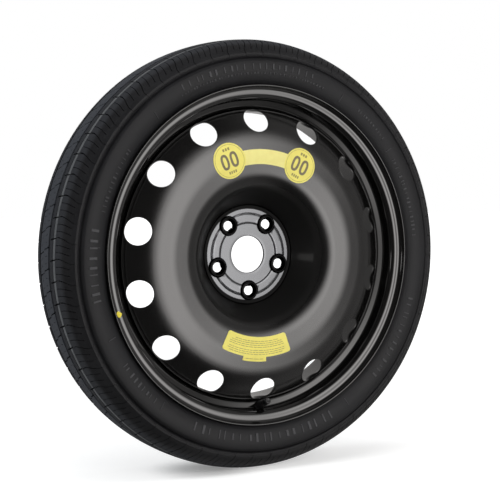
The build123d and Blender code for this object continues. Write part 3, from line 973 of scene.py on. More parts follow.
@dataclass
class PressedDisc:
    """The pressed disc: hub with bolt seats, domed crest, cone with vents and skirt."""

    skirt_r: float
    thickness: float = 3.6
    skirt_bend_y: float = -35.1
    skirt_end_y: float = 8.0
    skirt_round: float = 12.0
    cone_slope: float = 31.0
    crest_y: float = -58.0
    crest_in_share: float = 0.226
    crest_share: float = 0.514
    crest_in_slope: float = 5.0
    crest_out_slope: float = 4.5
    crest_in_round: float = 42.0
    crest_round: float = 70.0
    crest_out_round: float = 75.0
    vent_count: int = 14
    vent_r: float = 20.5
    vent_inset: float = 16.0
    vent_start: float = 91.53
    vent_bevel: float = 0.7
    hub_back_y: float = -3.0
    bore_r: float = 28.55
    bolt_circle: float = 112.0
    bolt_count: int = 5
    bolt_start: float = 55.57
    bolt_hole_r: float = 7.5
    bolt_seat_r: float = 13.0
    seat_land: float = 1.2
    collar_r: float = 15.0
    collar_height: float = 2.0
    collar_round: float = 1.9
    band_rise: float = 1.6
    band_in_reach: float = 6.0
    band_out_reach: float = 4.7
    step_in_width: float = 2.6
    step_out_width: float = 4.5
    step_round: float = 2.0
    wall_reach: float = 21.0
    wall_round: float = 4.0
    edge_round: float = 0.9
    bolt_belt: Point = (38.5, 74.3)
    vent_from_r: float = 183.5
    vent_end_y: float = -19.0
    vent_search: Point = (-16.0, 12.0)
    vent_rows: int = 11
    vent_steps: int = 22
    bolt_rows: int = 26
    bolt_steps: int = 44
    columns: int = 350

    def __post_init__(self) -> None:
        """Draws the disc's front line and finds the places along it."""
        front_y = self.hub_back_y - self.thickness
        self.band_y = front_y - self.band_rise
        self.bolt_r = self.bolt_circle / 2
        band_in, band_out = self.bolt_r - self.band_in_reach, self.bolt_r + self.band_out_reach
        wall_r = self.bolt_r + self.wall_reach
        crest_in, crest_r = (wall_r + share * (self.skirt_r - wall_r)
                             for share in (self.crest_in_share, self.crest_share))
        cone, climb, fall = (math.tan(math.radians(slope))
                             for slope in (self.cone_slope, self.crest_in_slope, self.crest_out_slope))
        drop = self.crest_y - fall * crest_r - self.skirt_bend_y + cone * self.skirt_r
        crest_out = drop / (cone - fall)
        near, far = self.step_round, self.step_round + self.thickness
        self.line = SectionLine(
            [(self.bore_r, front_y), (band_in - self.step_in_width, front_y), (band_in, self.band_y),
             (band_out, self.band_y), (band_out + self.step_out_width, front_y), (wall_r, front_y),
             (crest_in, self.crest_y + (crest_r - crest_in) * climb), (crest_r, self.crest_y),
             (crest_out, self.crest_y + (crest_out - crest_r) * fall), (self.skirt_r, self.skirt_bend_y),
             (self.skirt_r, self.skirt_end_y)],
            [near, far, far, near, self.wall_round, self.crest_in_round, self.crest_round, self.crest_out_round,
             self.skirt_round])
        s = np.linspace(0, self.line.length, 5 * LINE_SAMPLES)
        place, _ = self.line.at(s)
        rising = np.maximum.accumulate(place[:, 0]) + s * 1e-9
        self.s_of_r = lambda r: np.interp(r, rising, s)

    def point(self, angle: Any, s: Any, depth: Any) -> Array:
        """Points of the sheet.

        Args:
            angle: angles round the axis, in degrees.
            s: distances along the front line.
            depth: depths below the front face.

        Returns:
            Coordinates with a last axis of three.
        """
        place, normal = self.line.at(s)
        return about_axis(place[..., 0] + normal[..., 0] * depth, place[..., 1] + normal[..., 1] * depth, angle)

    def belt(self, shell: Shell, low: float, high: float, first: float, last: float) -> None:
        """Adds the front and back of a plain stretch between two distances, with columns that may shift."""
        s = self.line.stations(low, high, 3.0, 6.0)
        share = (s - s[0]) / (s[-1] - s[0])
        even = np.arange(self.columns) * 360 / self.columns
        angle = even[None] + (first + (last - first) * share * share * (3 - 2 * share))[:, None]
        for depth in (0.0, self.thickness):
            shell.grid(self.point(angle, s[:, None] + 0 * angle, depth), closed=True)

    def rim_of_sheet(self, shell: Shell, s: float, outward: float, shift: float) -> None:
        """Adds the rounded edge of the sheet at one end of the front line."""
        place, normal = self.line.at(np.array([s]))
        along = np.array([normal[0][1], -normal[0][0]]) * outward
        turn = [(0.0, 0.0), (0.1, 0.45), (0.45, 0.8), (self.edge_round, self.edge_round)]
        turn += [(self.thickness - depth, reach) for depth, reach in turn[::-1]]
        rows = [place[0] + normal[0] * depth + along * reach for depth, reach in turn]
        shell.lathe([tuple(p) for p in rows], np.arange(self.columns) * 360 / self.columns + shift)

    def frame_loop(self, low: float, high: float, count: int, up: int) -> tuple[Array, Array]:
        """Points round a sector's border.

        Args:
            low: first distance along the line.
            high: last distance along the line.
            count: number of sectors round the disc.
            up: steps along each straight side.

        Returns:
            Angles and distances of the border's points, in order.
        """
        half, across = 180 / count, self.columns // count
        side = np.linspace(-half, half, across + 1)[:-1]
        rise = low + (high - low) * self.shares(np.array([low]), np.array([high]), up + 1)[:-1, 0]
        angle = np.concatenate([side, np.full(up, half), -side, np.full(up, -half)])
        s = np.concatenate([np.full(across, low), rise, np.full(across, high), low + high - rise])
        return angle, s

    def shares(self, first: Array, last: Array, count: int) -> Array:
        """How to share points out between two distances along the line, close together where it bends.

        Args:
            first: distances at which the points start.
            last: distances at which they end.
            count: number of points.

        Returns:
            Shares from 0 to 1, one row for each point and one column for each pair of distances.
        """
        t = np.linspace(0.0, 1.0, 241)
        s = first + (last - first) * t[:, None]
        crowd = np.ones(s.shape)
        for kind, start, length, facts in self.line.pieces:
            if kind == "bend":
                crowd += np.where((s > start - 0.3) & (s < start + length + 0.3), 34.0 / facts[3], 0.0)
        total = np.concatenate([np.zeros((1, s.shape[1])), np.cumsum(crowd[1:] + crowd[:-1], axis=0)])
        goal = np.linspace(0.0, 1.0, count)
        return np.stack([np.interp(goal, column / column[-1], t) for column in total.T], -1)

    def skin(self, angle: Array, s: Array, ring_angle: Array, ring_s: Array, depth: float,
             count: int) -> list[Array]:
        """Rows of the sheet from a sector's border to a ring inside it."""
        share = 1.0 - self.shares(s, ring_s, count)
        return list(self.point(ring_angle + (angle - ring_angle) * share, ring_s + (s - ring_s) * share, depth))

    def vent_ring(self, turn: Array, radius: float, depth: float) -> tuple[Array, Array, Array]:
        """A ring on a vent's wall where it lies at a depth in the sheet.

        Args:
            turn: angles round the vent's axis, in radians.
            radius: distance from the vent's axis.
            depth: depth below the front face.

        Returns:
            Angles, distances along the line and coordinates of the ring's points.
        """
        lean = math.radians(self.cone_slope)
        centre_r = self.skirt_r - self.vent_inset
        centre_y = self.skirt_bend_y - self.vent_inset * math.tan(lean)
        low, high = (np.full(turn.shape, end) for end in self.vent_search)
        z = radius * np.cos(turn)
        for _ in range(BISECTIONS):
            reach = (low + high) / 2
            x = centre_r + radius * np.sin(turn) * math.cos(lean) + reach * math.sin(lean)
            y = centre_y + radius * np.sin(turn) * math.sin(lean) - reach * math.cos(lean)
            s, below = self.line.nearest(np.stack([np.hypot(x, z), y], -1))
            deep = below > depth
            low, high = np.where(deep, reach, low), np.where(deep, high, reach)
        return np.degrees(np.arctan2(z, x)), s, np.stack([x, y, z], -1)

    def vent_sector(self) -> Piece:
        """One vent with the sheet round it, front and back."""
        angle, s = self.frame_loop(*self.vent_span(), self.vent_count, self.vent_steps)
        centre_r = self.skirt_r - self.vent_inset
        middle = float(self.s_of_r(centre_r))
        turn = np.arctan2(s - middle, np.radians(angle) * centre_r)
        bevel, t = self.vent_bevel, self.thickness
        rows = []
        for depth, way in ((0.0, 1), (t, -1)):
            ring_angle, ring_s, _ = self.vent_ring(turn, self.vent_r + bevel, depth)
            rows += self.skin(angle, s, ring_angle, ring_s, depth, self.vent_rows)[::way]
            if depth == 0.0:
                for grow, deep in ((0.5, 0.06), (0.2, 0.2), (0.05, 0.45), (0.0, bevel), (0.0, 1.5 * bevel),
                                   (0.0, t - 1.5 * bevel), (0.0, t - bevel), (0.05, t - 0.45), (0.2, t - 0.2)):
                    rows.append(self.vent_ring(turn, self.vent_r + grow, deep)[2])
        return put("vent_sector", Shell().grid(np.array(rows), closed=True).mesh("vent_sector", merge=False))

    def bolt_ring(self, turn: Array, radius: float, depth: float) -> tuple[Array, Array]:
        """Angles and distances of a ring round a bolt's axis that lies at a depth in the sheet."""
        x = self.bolt_r + radius * np.sin(turn)
        z = radius * np.cos(turn)
        goal = np.hypot(x, z)
        s = self.s_of_r(goal)
        for _ in range(4):
            place, normal = self.line.at(s)
            s = s + goal - place[:, 0] - normal[:, 0] * depth
        return np.degrees(np.arctan2(z, x)), s

    def bolt_sector(self) -> Piece:
        """One bolt seat with its raised collar and the hub round it, front and back."""
        hole, seat, collar, bend = self.bolt_hole_r, self.bolt_seat_r, self.collar_r, self.collar_round
        angle, s = self.frame_loop(*self.bolt_span(), self.bolt_count, self.bolt_steps)
        middle = float(self.s_of_r(self.bolt_r))
        turn = np.arctan2(s - middle, np.radians(angle) * self.bolt_r)
        top, back = self.band_y - self.collar_height, self.band_y + self.thickness
        seat_y = back - self.seat_land - math.sqrt(seat**2 - hole**2)
        foot = 0.7
        base = self.line.at(self.bolt_ring(turn, collar, 0.0)[1])[0][:, 1]
        lip = math.sqrt(seat**2 - (top - seat_y) ** 2)
        rings = [(collar + 0.2, base - 0.2), (collar, base - foot)]
        rings += [(collar - bend * (1 - math.cos(a)), top + bend * (1 - math.sin(a)))
                  for a in np.radians(np.linspace(0, 90, 6))]
        rings += [(lip + grow, top + drop) for grow, drop in ((0.9, 0.0), (0.5, 0.0), (0.2, 0.07), (0.0, 0.3))]
        rings += [(seat * math.cos(a), seat_y + seat * math.sin(a))
                  for a in np.linspace(math.acos((lip - 0.15) / seat), math.acos((hole + 0.2) / seat), 6)]
        rings += [(hole, back - self.seat_land + 0.25), (hole, back - 0.45), (hole + 0.12, back - 0.12)]
        rows = self.skin(angle, s, *self.bolt_ring(turn, collar + foot, 0.0), 0.0, self.bolt_rows)
        rows += [np.stack([self.bolt_r + radius * np.sin(turn), y + 0 * turn, radius * np.cos(turn)], -1)
                 for radius, y in rings]
        ring = self.bolt_ring(turn, hole + 0.45, self.thickness)
        rows += self.skin(angle, s, *ring, self.thickness, self.bolt_rows)[::-1]
        return put("bolt_sector", Shell().grid(np.array(rows), closed=True).mesh("bolt_sector", merge=False))

    def bolt_span(self) -> tuple[float, float]:
        """Where the hub's sectors start and end along the front line."""
        low, high = self.bolt_belt
        return float(self.s_of_r(low)), float(self.s_of_r(high))

    def vent_span(self) -> tuple[float, float]:
        """Where the vents' sectors start and end along the front line."""
        return float(self.s_of_r(self.vent_from_r)), self.line.length - (self.skirt_end_y - self.vent_end_y)

    def build(self, ring: RingTree) -> Piece:
        """Builds and dresses the disc."""
        shell = Shell()
        step = 360 / self.columns
        bolt_shift = (self.bolt_start - 180 / self.bolt_count) % step
        vent_shift = (self.vent_start - 180 / self.vent_count) % step
        (bolt_low, bolt_high), (vent_low, vent_high) = self.bolt_span(), self.vent_span()
        first, last = self.edge_round, self.line.length - self.edge_round
        self.rim_of_sheet(shell, first, -1.0, bolt_shift)
        self.belt(shell, first, bolt_low, bolt_shift, bolt_shift)
        self.belt(shell, bolt_high, vent_low, bolt_shift, vent_shift)
        self.belt(shell, vent_high, last, vent_shift, vent_shift)
        self.rim_of_sheet(shell, last, 1.0, vent_shift)
        piece = put("disc_steel", shell.mesh("disc_steel", merge=False), [DISC_PAINT])
        sectors = ((self.bolt_sector(), self.bolt_count, self.bolt_start),
                   (self.vent_sector(), self.vent_count, self.vent_start))
        for block, count, start in sectors:
            piece.data = ring.apply(piece, block, DISC_PAINT, Count=count, Start=math.radians(start))
        tidy(piece.data)
        shade(piece.data)
        return settle(piece, Body.WHEEL, "disc")


@dataclass
class SkirtWelds:
    """Fillet welds between the skirt's end and the well, with ripples along each bead."""

    skirt_r: float
    skirt_end_y: float = 8.0
    leg: float = 3.4
    count: int = 8
    arc: float = 26.0
    start: float = 10.0
    ripple: float = 0.16
    ripples: int = 34
    bulge: float = 0.84

    def build(self, ring: RingTree) -> Piece:
        """Builds and dresses the welds."""
        steps = self.ripples * 6
        corner = np.array([self.skirt_r - 0.02, self.skirt_end_y + 0.02])
        face = [(-self.bulge * math.cos(a), self.bulge * math.sin(a)) for a in np.radians((18, 36, 54, 72))]
        toe = np.array([(0.0, 0.0), (-1.0, 0.0), *face, (0.0, 1.0)])
        rows = []
        for i in range(steps + 1):
            share = i / steps
            swell = min(1.0, 0.35 + 9.0 * share, 0.35 + 9.0 * (1 - share))
            size = self.leg * swell * (1 + self.ripple * (abs(math.sin(math.pi * share * self.ripples)) - 0.6))
            rows.append(about_axis(*(corner + size * toe).T, self.arc * share))
        shell = Shell().grid(np.array(rows), closed=True).cap(len(toe))
        block = put("weld_bead", shell.mesh("weld_bead"))
        piece = put("weld_beads", bpy.data.meshes.new("weld_beads"))
        piece.data = ring.apply(piece, block, WELD_PAINT, Count=self.count, Start=math.radians(self.start))
        shade(piece.data, 50.0)
        return settle(piece, Body.WHEEL, "disc_welds")


@dataclass
class Tyre:
    """The tyre: a grooved, slotted and siped tread, sidewalls with a recessed line and bars, and beads."""

    seat_r: float
    rim_half: float
    tread_r: float = 330.0
    section_half: float = 64.3
    pitches: int = 63
    first_slot: float = 154.997
    wave: float = 0.729
    waves: int = 5
    phase: float = 85.0
    groove_in: float = 15.0
    groove_out: float = 20.0
    groove_depth: float = 5.5
    band_in: float = 29.0
    band_out: float = 35.0
    band_depth: float = 0.8
    slot_depth: float = 4.6
    sipe_depth: float = 2.8
    sipe_half: float = 0.5
    recess_r: float = 300.0
    recess_depth: float = 1.5
    mark_rise: float = 0.85
    mark_round: float = 0.12
    seed: int = 7
    marks: tuple[tuple[float, float, int, float, float, float], ...] = (
        (243.0, 296.0, 19, 276.5, 13.0, 2.1), (170.0, 193.0, 9, 280.5, 12.0, 2.0),
        (72.0, 120.0, 20, 285.5, 8.5, 1.6), (68.0, 121.0, 46, 275.5, 3.2, 1.1), (212.0, 229.0, 9, 277.0, 9.0, 1.4),
        (40.0, 54.0, 11, 279.0, 5.0, 1.1), (5.0, 33.0, 18, 275.0, 6.0, 1.2), (314.0, 345.0, 14, 278.0, 8.0, 1.5),
        (144.0, 166.0, 14, 273.0, 6.0, 1.1))
    ticks: tuple[float, ...] = (36.0, 61.0, 131.0, 176.0, 204.0, 231.0, 302.0)
    tick_size: Triple = (276.0, 13.0, 0.7)
    crown_inset: float = 34.7
    crown_sag: float = 1.6
    shoulder_inset: float = 8.8
    shoulder_drop: float = 20.0
    wall_step: float = 0.03
    slot_end: float = 55.5
    plain: float = 99.0

    def crown(self, across: float) -> tuple[Array, Array]:
        """The tread's outer line at a distance from the middle, with its outward normal."""
        flat_y = self.section_half - self.crown_inset
        if across <= flat_y:
            radius = (flat_y**2 + self.crown_sag**2) / (2 * self.crown_sag)
            tilt = math.asin(across / radius)
            place = np.array([self.tread_r - radius * (1 - math.cos(tilt)), -across])
            return place, np.array([math.cos(tilt), -math.sin(tilt)])
        table = np.array(arc_through(*self.shoulder(), 60))
        r, beside = np.interp((across, across + 0.05), -table[:, 1], table[:, 0])
        slope = (beside - r) / 0.05
        normal = np.array([1.0, slope]) / math.hypot(1.0, slope)
        return np.array([r, -across]), normal

    def shoulder(self) -> tuple[Point, Point, Point]:
        """Three points of the shoulder's arc."""
        top, end = self.tread_r, self.section_half - self.shoulder_inset
        return (top - self.crown_sag, 25.9 - end), (top - 8.0, 11.14 - end), (top - self.shoulder_drop, -end)

    def slot_path(self, across: float) -> Triple:
        """The main slot's place in degrees, its half width and its depth at a distance from the middle."""
        if across < self.groove_in + 0.04:
            place = -(0.2 * min(across / 0.7, 1.0) + 0.055 * across)
            notch = np.interp(across, (0, 11.5, 14.5), (0.8, 0.95, 1.4))
            return place, float(notch), self.slot_depth
        knots = (20.0, 22.0, 41.0, 43.0, 48.0, 55.5)
        place = np.interp(across, knots, (-3.0, -3.05, -3.8, -3.72, -3.35, -2.35))
        half = np.interp(across, knots, (1.15, 1.15, 1.1, 0.75, 0.62, 0.5))
        depth = np.interp(across, (21.9, 22.0, 42.0, 44.0, 55.0, 60.0),
                          (0.0, self.slot_depth, 4.4, 3.0, 1.6, 0.0))
        return float(place), float(half), float(depth)

    def sipe_path(self, across: float) -> tuple[float, float]:
        """A thin sipe's shift from its block's middle in degrees and its depth."""
        if across < self.groove_in + 0.04:
            here = 4.9 < across < 10.1
            return -0.055 * across, 1.6 if here else 0.0
        bow = np.interp(across, (20.0, 36.0, 42.0, 47.0, 55.5), (-3.5, -3.55, -3.6, -3.45, -2.75))
        return float(bow), self.sipe_depth if 36.2 < across < 54.4 else 0.0

    def row(self, place: Array, normal: Array, across: float, floor: float, mean_r: float) -> Array:
        """One row of a pitch block.

        Args:
            place: the row's (radius, axial place) on the outer line.
            normal: the outward normal there.
            across: distance from the tread's middle, which sets the slots.
            floor: depth of the groove or band that the row lies in.
            mean_r: radius at which slot widths are turned into angles.

        Returns:
            Twelve points as (share of a pitch, axial place, radius).
        """
        step = 360 / self.pitches
        wide = math.degrees(1.0 / mean_r)
        slot, half, depth = self.slot_path(across)
        sipe, sipe_depth = self.sipe_path(across)
        draft = 0.12
        thin = self.sipe_half * wide
        first, last = ([(centre - thin, 0.0), (centre, sipe_depth), (centre + thin, 0.0)]
                       for centre in (sipe - step / 3, sipe + step / 3))
        main = [(slot - half * wide, 0.0), (slot - (half - draft) * wide, depth),
                (slot + (half - draft) * wide, depth), (slot + half * wide, 0.0)]
        columns = [(slot - step / 2, 0.0), *first, *main, *last, (slot + step / 2, 0.0)]
        made = []
        for angle, deep in columns:
            sunk = max(floor, deep)
            made.append((angle / step, place[1] - normal[1] * sunk, place[0] - normal[0] * sunk))
        return np.array(made)

    def half_rows(self) -> Array:
        """Rows of a pitch block from the tread's middle down to the bead and back along the liner."""
        rows, near = [], self.wall_step
        groove = (self.groove_in + near, (self.groove_in + self.groove_out) / 2, self.groove_out - near)
        band = (self.band_in + near, (self.band_in + self.band_out) / 2, self.band_out - 0.6)
        stretches = (
            (0.0, (0, 0.7, 2.5, 4.85, 4.95, 7.5, 10.05, 10.15, 11.5, 13, 14.5, self.groove_in)),
            (self.groove_depth, groove),
            (0.0, (self.groove_out, 21.9, 22.0, 25.0, self.band_in - near)),
            (self.band_depth, band),
            (0.0, (self.band_out, 36.15, 36.25, 38, 40, 41.5, 43, 45, 47, 49, 51, 53, 54.35, 54.45,
                   self.slot_end)))
        levels = [(across, floor) for floor, places in stretches for across in places]
        for across, floor in levels:
            place, normal = self.crown(across)
            rows.append(self.row(place, normal, across, floor, self.tread_r))
        for place, normal in self.side_line():
            below = self.tread_r - self.shoulder_drop - place[0]
            rows.append(self.row(place, normal, self.slot_end + 0.5 * below, 0.0, place[0]))
        for place in self.inner_line():
            rows.append(self.row(np.array(place), np.zeros(2), self.plain, 0.0, self.tread_r))
        return np.array(rows)

    def side_line(self) -> list[tuple[Array, Array]]:
        """Points and normals of the sidewall from the shoulder to the flange, with its recessed line."""
        half, top, low = self.section_half, self.tread_r, self.seat_r
        shoulder, buttress = self.shoulder()[2], (top - 24.0, -(half - 5.1))
        ridge, lower = (top - 35.5, -(half - 1.1)), (low + 23.7, -(self.rim_half + 9.0))
        line = [(shoulder[0] + (buttress[0] - shoulder[0]) * t, shoulder[1] + (buttress[1] - shoulder[1]) * t)
                for t in (0.15, 0.4, 0.6, 0.64, 0.76, 0.8)]
        line += arc_through(buttress, (top - 30.0, -(half - 3.9)), ridge, 18)
        line += arc_through(ridge, (low + 39.7, -half), lower, 22)[1:]
        hidden = (low + 9.0, -(self.rim_half - 2.0))
        line += arc_through(lower, (low + 18.7, -(self.rim_half + 5.6)), hidden, 12)[1:10]
        places = np.array(line)
        way = np.gradient(places, axis=0)
        normals = np.stack([way[:, 1], -way[:, 0]], -1)
        normals /= np.linalg.norm(normals, axis=1)[:, None]
        sunk = self.recess_depth * np.clip(1.6 - np.abs(places[:, 0] - self.recess_r) / 2.0, 0.0, 1.0)
        return list(zip(places + normals * sunk[:, None], -normals))

    def inner_line(self) -> list[Point]:
        """The bead behind the flange and the liner up to the crown's middle."""
        low, half, crown = self.seat_r, self.rim_half, self.tread_r - 12.0
        inside = self.section_half - 8.0
        foot, bend = (low + 26.0, 4.5 - inside), (crown - 21.0, 3.5 - inside)
        line = [(low + 10.6, 0.05 - half), (low + 4.5, 0.05 - half), (low + 1.9, 2.4 - half),
                (low - 0.55, 7.0 - half), (low - 1.35, 16.3 - half), (low + 2.5, 16.3 - half),
                (low + 14.0, 12.5 - inside)]
        line += arc_through(foot, (low + 39.7, -inside), bend, 6)
        line += arc_through(bend, (crown - 8.0, 9.5 - inside), (crown - 2.5, -36.0), 4)[1:]
        return line + [(crown - 0.7, -18.0), (crown, 0.0)]

    def pitch_block(self) -> Piece:
        """One pitch from bead to bead; its length is 1 and is wrapped later."""
        half = self.half_rows()
        other = half[:, ::-1] * (-1.0, -1.0, 1.0)
        rows = np.concatenate([other[::-1], half[1:]])
        rows[..., 0] /= MM
        return put("pitch_block", Shell().grid(rows).mesh("pitch_block", merge=False))

    def side_place(self, radius: float) -> tuple[Array, Array]:
        """The sidewall's point and outward normal at a radius."""
        line = self.side_line()
        radii = np.array([place[0] for place, _ in line])
        best = int(np.argmin(np.abs(radii - radius)))
        place, normal = line[best]
        return np.array([radius, place[1] + (radius - place[0]) * -normal[0] / normal[1]]), normal

    def mark_place(self, angle: float, radius: float, height: float, width: float, side: float) -> Matrix:
        """Where a raised bar goes on a sidewall: its length runs along the radius."""
        place, normal = self.side_place(radius)
        turn = math.radians(angle)
        spoke = Vector((math.cos(turn), 0.0, math.sin(turn)))
        axis = Vector((0.0, side, 0.0))
        up = (spoke * normal[0] + axis * -normal[1]).normalized()
        along = (spoke - up * spoke.dot(up)).normalized()
        turned = place_by_axes(along, up.cross(along), up, (spoke * place[0] + axis * -place[1]) * MM)
        return turned @ Matrix.Diagonal((height, width, 1.0, 1.0))

    def raised_marks(self, scatter: ScatterTree) -> Mesh:
        """Plain raised bars and ticks on both sidewalls."""
        draw = random.Random(self.seed)
        places = []
        for side in (-1.0, 1.0):
            bars = []
            for first, last, count, radius, height, width in self.marks:
                for k in range(count):
                    angle = first + (last - first) * (k + draw.uniform(0.3, 0.7)) / count
                    tall, wide = height * draw.choice((1.0, 1.0, 0.72)), width * draw.choice((0.8, 1.2, 1.9))
                    bars.append((angle, radius, tall, wide))
            bars += [(angle, *self.tick_size) for angle in self.ticks]
            for angle, *size in bars:
                places.append(self.mark_place(angle if side < 0 else 180 - angle, *size, side))
        bar = put("mark_bar", rounded_bar(MM, MM, self.mark_rise * MM, self.mark_round))
        return scatter.scatter(places, bar, MARK_RUBBER)

    def build(self, wrap: TreadTree, scatter: ScatterTree) -> Piece:
        """Builds and dresses the tyre."""
        row = bpy.data.meshes.new("tyre_rubber")
        row.from_pydata([(float(k), 0.0, 0.0) for k in range(self.pitches)], [], [])
        piece = put("tyre_rubber", row)
        piece.data = wrap.apply(piece, self.pitch_block(), TYRE_RUBBER, Step=math.tau / self.pitches,
                                Start=math.radians(self.first_slot), Wave=math.radians(self.wave),
                                Waves=float(self.waves), Phase=math.radians(self.phase))
        tidy(piece.data)
        marks = self.raised_marks(scatter)
        marks.polygons.foreach_set("material_index", [1] * len(marks.polygons))
        join(piece.data, marks)
        piece.data.materials.append(MARK_RUBBER.material())
        shade(piece.data, 30.0)
        return settle(piece, Body.WHEEL, "tyre")


@dataclass
class Label:
    """A film on the disc's crest with printed shapes, cut from flat outlines."""

    name: str
    disc: PressedDisc
    node: str
    glue: float = 0.05
    film: float = 0.35
    spacing: float = 3.0
    nudge: Point = (0.013, 0.017)

    def __post_init__(self) -> None:
        """Starts with no shapes."""
        self.shapes: list[tuple[list[Point], int]] = []

    def add(self, outline: list[Point], finish: int) -> None:
        """Adds a closed outline in the face's plane, in millimetres, printed with a finish by number."""
        self.shapes.append((outline, finish))

    def lift(self, x: float, z: float, height: float) -> Triple:
        """A point of the face's plane, moved on to the disc's front at a height above it."""
        radius = math.hypot(x, z)
        s = float(self.disc.s_of_r(radius))
        place, normal = self.disc.line.at(np.array([s]))
        slope = normal[0][0] / normal[0][1]
        return x, float(place[0][1] - height * math.hypot(1.0, slope)), z

    def cut(self) -> tuple[list[Point], list[list[int]], list[int]]:
        """Cuts the film into triangles along every outline.

        Returns:
            Points, the triangles inside the first outline and each triangle's finish.
        """
        points: list[Point] = []
        fields: list[list[int]] = []
        for outline, _ in self.shapes:
            fields.append(list(range(len(points), len(points) + len(outline))))
            points += outline
        border = np.array(self.shapes[0][0])
        low, high = border.min(0), border.max(0)
        for x in np.arange(low[0], high[0], self.spacing):
            for z in np.arange(low[1], high[1], self.spacing):
                points.append((float(x) + self.nudge[0], float(z) + self.nudge[1]))
        flat, _, triangles, _, _, owners = delaunay_2d_cdt([Vector(p) for p in points], [], fields, 1, 1e-4)
        inside = [(list(corners), owner) for corners, owner in zip(triangles, owners) if 0 in owner]
        finish_of = [self.shapes[max(owner)][1] for _, owner in inside]
        return [tuple(p) for p in flat], [corners for corners, _ in inside], finish_of

    def build(self, finishes: Sequence[Finish]) -> Piece:
        """Lays the cut film on the disc and gives it thickness."""
        flat, triangles, finish_of = self.cut()
        count = len(flat)
        edges: dict[frozenset, Optional[tuple[int, int]]] = {}
        for corners in triangles:
            for a, b in zip(corners, corners[1:] + corners[:1]):
                edges[frozenset((a, b))] = None if frozenset((a, b)) in edges else (a, b)
        under = [tuple(count + corner for corner in reversed(corners)) for corners in triangles]
        sides = [(b, a, count + a, count + b) for a, b in filter(None, edges.values())]
        shell = Shell()
        shell.points = [self.lift(x, z, height) for height in (self.glue + self.film, self.glue) for x, z in flat]
        shell.faces = [tuple(corners) for corners in triangles] + under + sides
        mesh = shell.mesh(self.name, merge=False)
        mesh.polygons.foreach_set("material_index", finish_of + [0] * (len(under) + len(sides)))
        with edited(mesh) as work:
            bmesh.ops.delete(work, geom=[v for v in work.verts if not v.link_faces], context="VERTS")
            bmesh.ops.recalc_face_normals(work, faces=work.faces)
        return present(mesh, finishes, 40.0, Body.WHEEL, self.node)


def polar(radius: float, angle: float) -> Point:
    """A point of the wheel's face at a radius and an angle."""
    return radius * math.cos(math.radians(angle)), radius * math.sin(math.radians(angle))


def arc_points(radius: float, first: float, last: float, step: float = 1.5) -> list[Point]:
    """Points along an arc round the wheel's axis."""
    count = max(1, math.ceil(abs(last - first) / step))
    return [polar(radius, first + (last - first) * i / count) for i in range(count + 1)]


def spot(centre: Point, turn: float, x: float, y: float = 0.0) -> Point:
    """A point of the wheel's face, given in axes that are turned about a centre."""
    c, s = math.cos(math.radians(turn)), math.sin(math.radians(turn))
    return centre[0] + x * c - y * s, centre[1] + x * s + y * c


def oval(centre: Point, half_wide: float, half_tall: float, turn: float, power: float = 2.0,
         count: int = 48) -> list[Point]:
    """A closed oval, turned by an angle from the X axis; a larger power squares its ends."""
    made = []
    for a in full_turn(count):
        x = half_wide * math.copysign(abs(math.cos(a)) ** (2 / power), math.cos(a))
        y = half_tall * math.copysign(abs(math.sin(a)) ** (2 / power), math.sin(a))
        made.append(spot(centre, turn, x, y))
    return made


@dataclass
class SpeedSticker:
    """Two yellow discs joined by a paler band; each has a ring, two bold ovals and short bars."""

    disc: PressedDisc
    ring_r: float = 152.94
    disc_r: float = 27.0
    angles: Point = (63.5, 110.4)
    shift: float = -5.0
    band_in: float = 138.94
    band_out: float = 161.44
    oval_wide: float = 6.7
    oval_tall: float = 12.0
    stroke: float = 3.9
    oval_gap: float = 8.0
    bars: tuple[tuple[tuple[float, ...], float, float], ...] = (
        ((-4.4, 0.0, 4.4), 17.6, 1.6), ((-5.4, -1.8, 1.8, 5.4), -17.6, 1.25))
    steps: int = 60

    def lean(self, radius: float) -> float:
        """Angle from a disc's middle to where its edge crosses a radius."""
        span = (self.ring_r**2 + radius**2 - self.disc_r**2) / (2 * self.ring_r * radius)
        return math.degrees(math.acos(span))

    def outline(self) -> list[Point]:
        """The film's outline: the band's two arcs and both discs."""
        made: list[Point] = []
        right, left = self.angles
        inner, outer = self.lean(self.band_in), self.lean(self.band_out)
        bands = ((self.band_out, right + outer, left - outer), (self.band_in, left - inner, right + inner))
        for angle, way, band in zip(self.angles, (1, -1), bands):
            centre = polar(self.ring_r, angle)
            ends = []
            for radius in (self.band_in, self.band_out)[::way]:
                x, y = polar(radius, angle + way * self.lean(radius))
                ends.append(math.degrees(math.atan2(y - centre[1], x - centre[0])))
            first, span = ends[0], (ends[1] - ends[0]) % 360
            made += [spot(centre, first + span * i / self.steps, self.disc_r) for i in range(self.steps + 1)]
            made += arc_points(*band)[1:-1]
        return made

    def build(self) -> Piece:
        """Builds and dresses the sticker."""
        film = Label("speed_sticker", self.disc, "speed_label")
        film.add([(x + self.shift, z) for x, z in self.outline()], 1)
        wide, tall, stroke = self.oval_wide, self.oval_tall, self.stroke
        for angle in self.angles:
            upright = angle - 90.0
            x, z = polar(self.ring_r, angle)
            centre = (x + self.shift, z)
            for inset, finish in ((0.02, 0), (2.3, 3), (2.8, 0)):
                film.add(oval(centre, self.disc_r - inset, self.disc_r - inset, 0.0, count=96), finish)
            for shift in (-self.oval_gap, self.oval_gap):
                middle = spot(centre, upright, shift)
                film.add(oval(middle, wide, tall, upright, 2.5), 2)
                film.add(oval(middle, wide - stroke, tall - stroke, upright, 2.5), 0)
            for places, height, half in self.bars:
                for place in places:
                    film.add(oval(spot(centre, upright, place, height), half, 2.1, upright, 6.0, 24), 3)
        return film.build([YELLOW_FILM, PALE_FILM, PRINT_INK, FINE_INK])


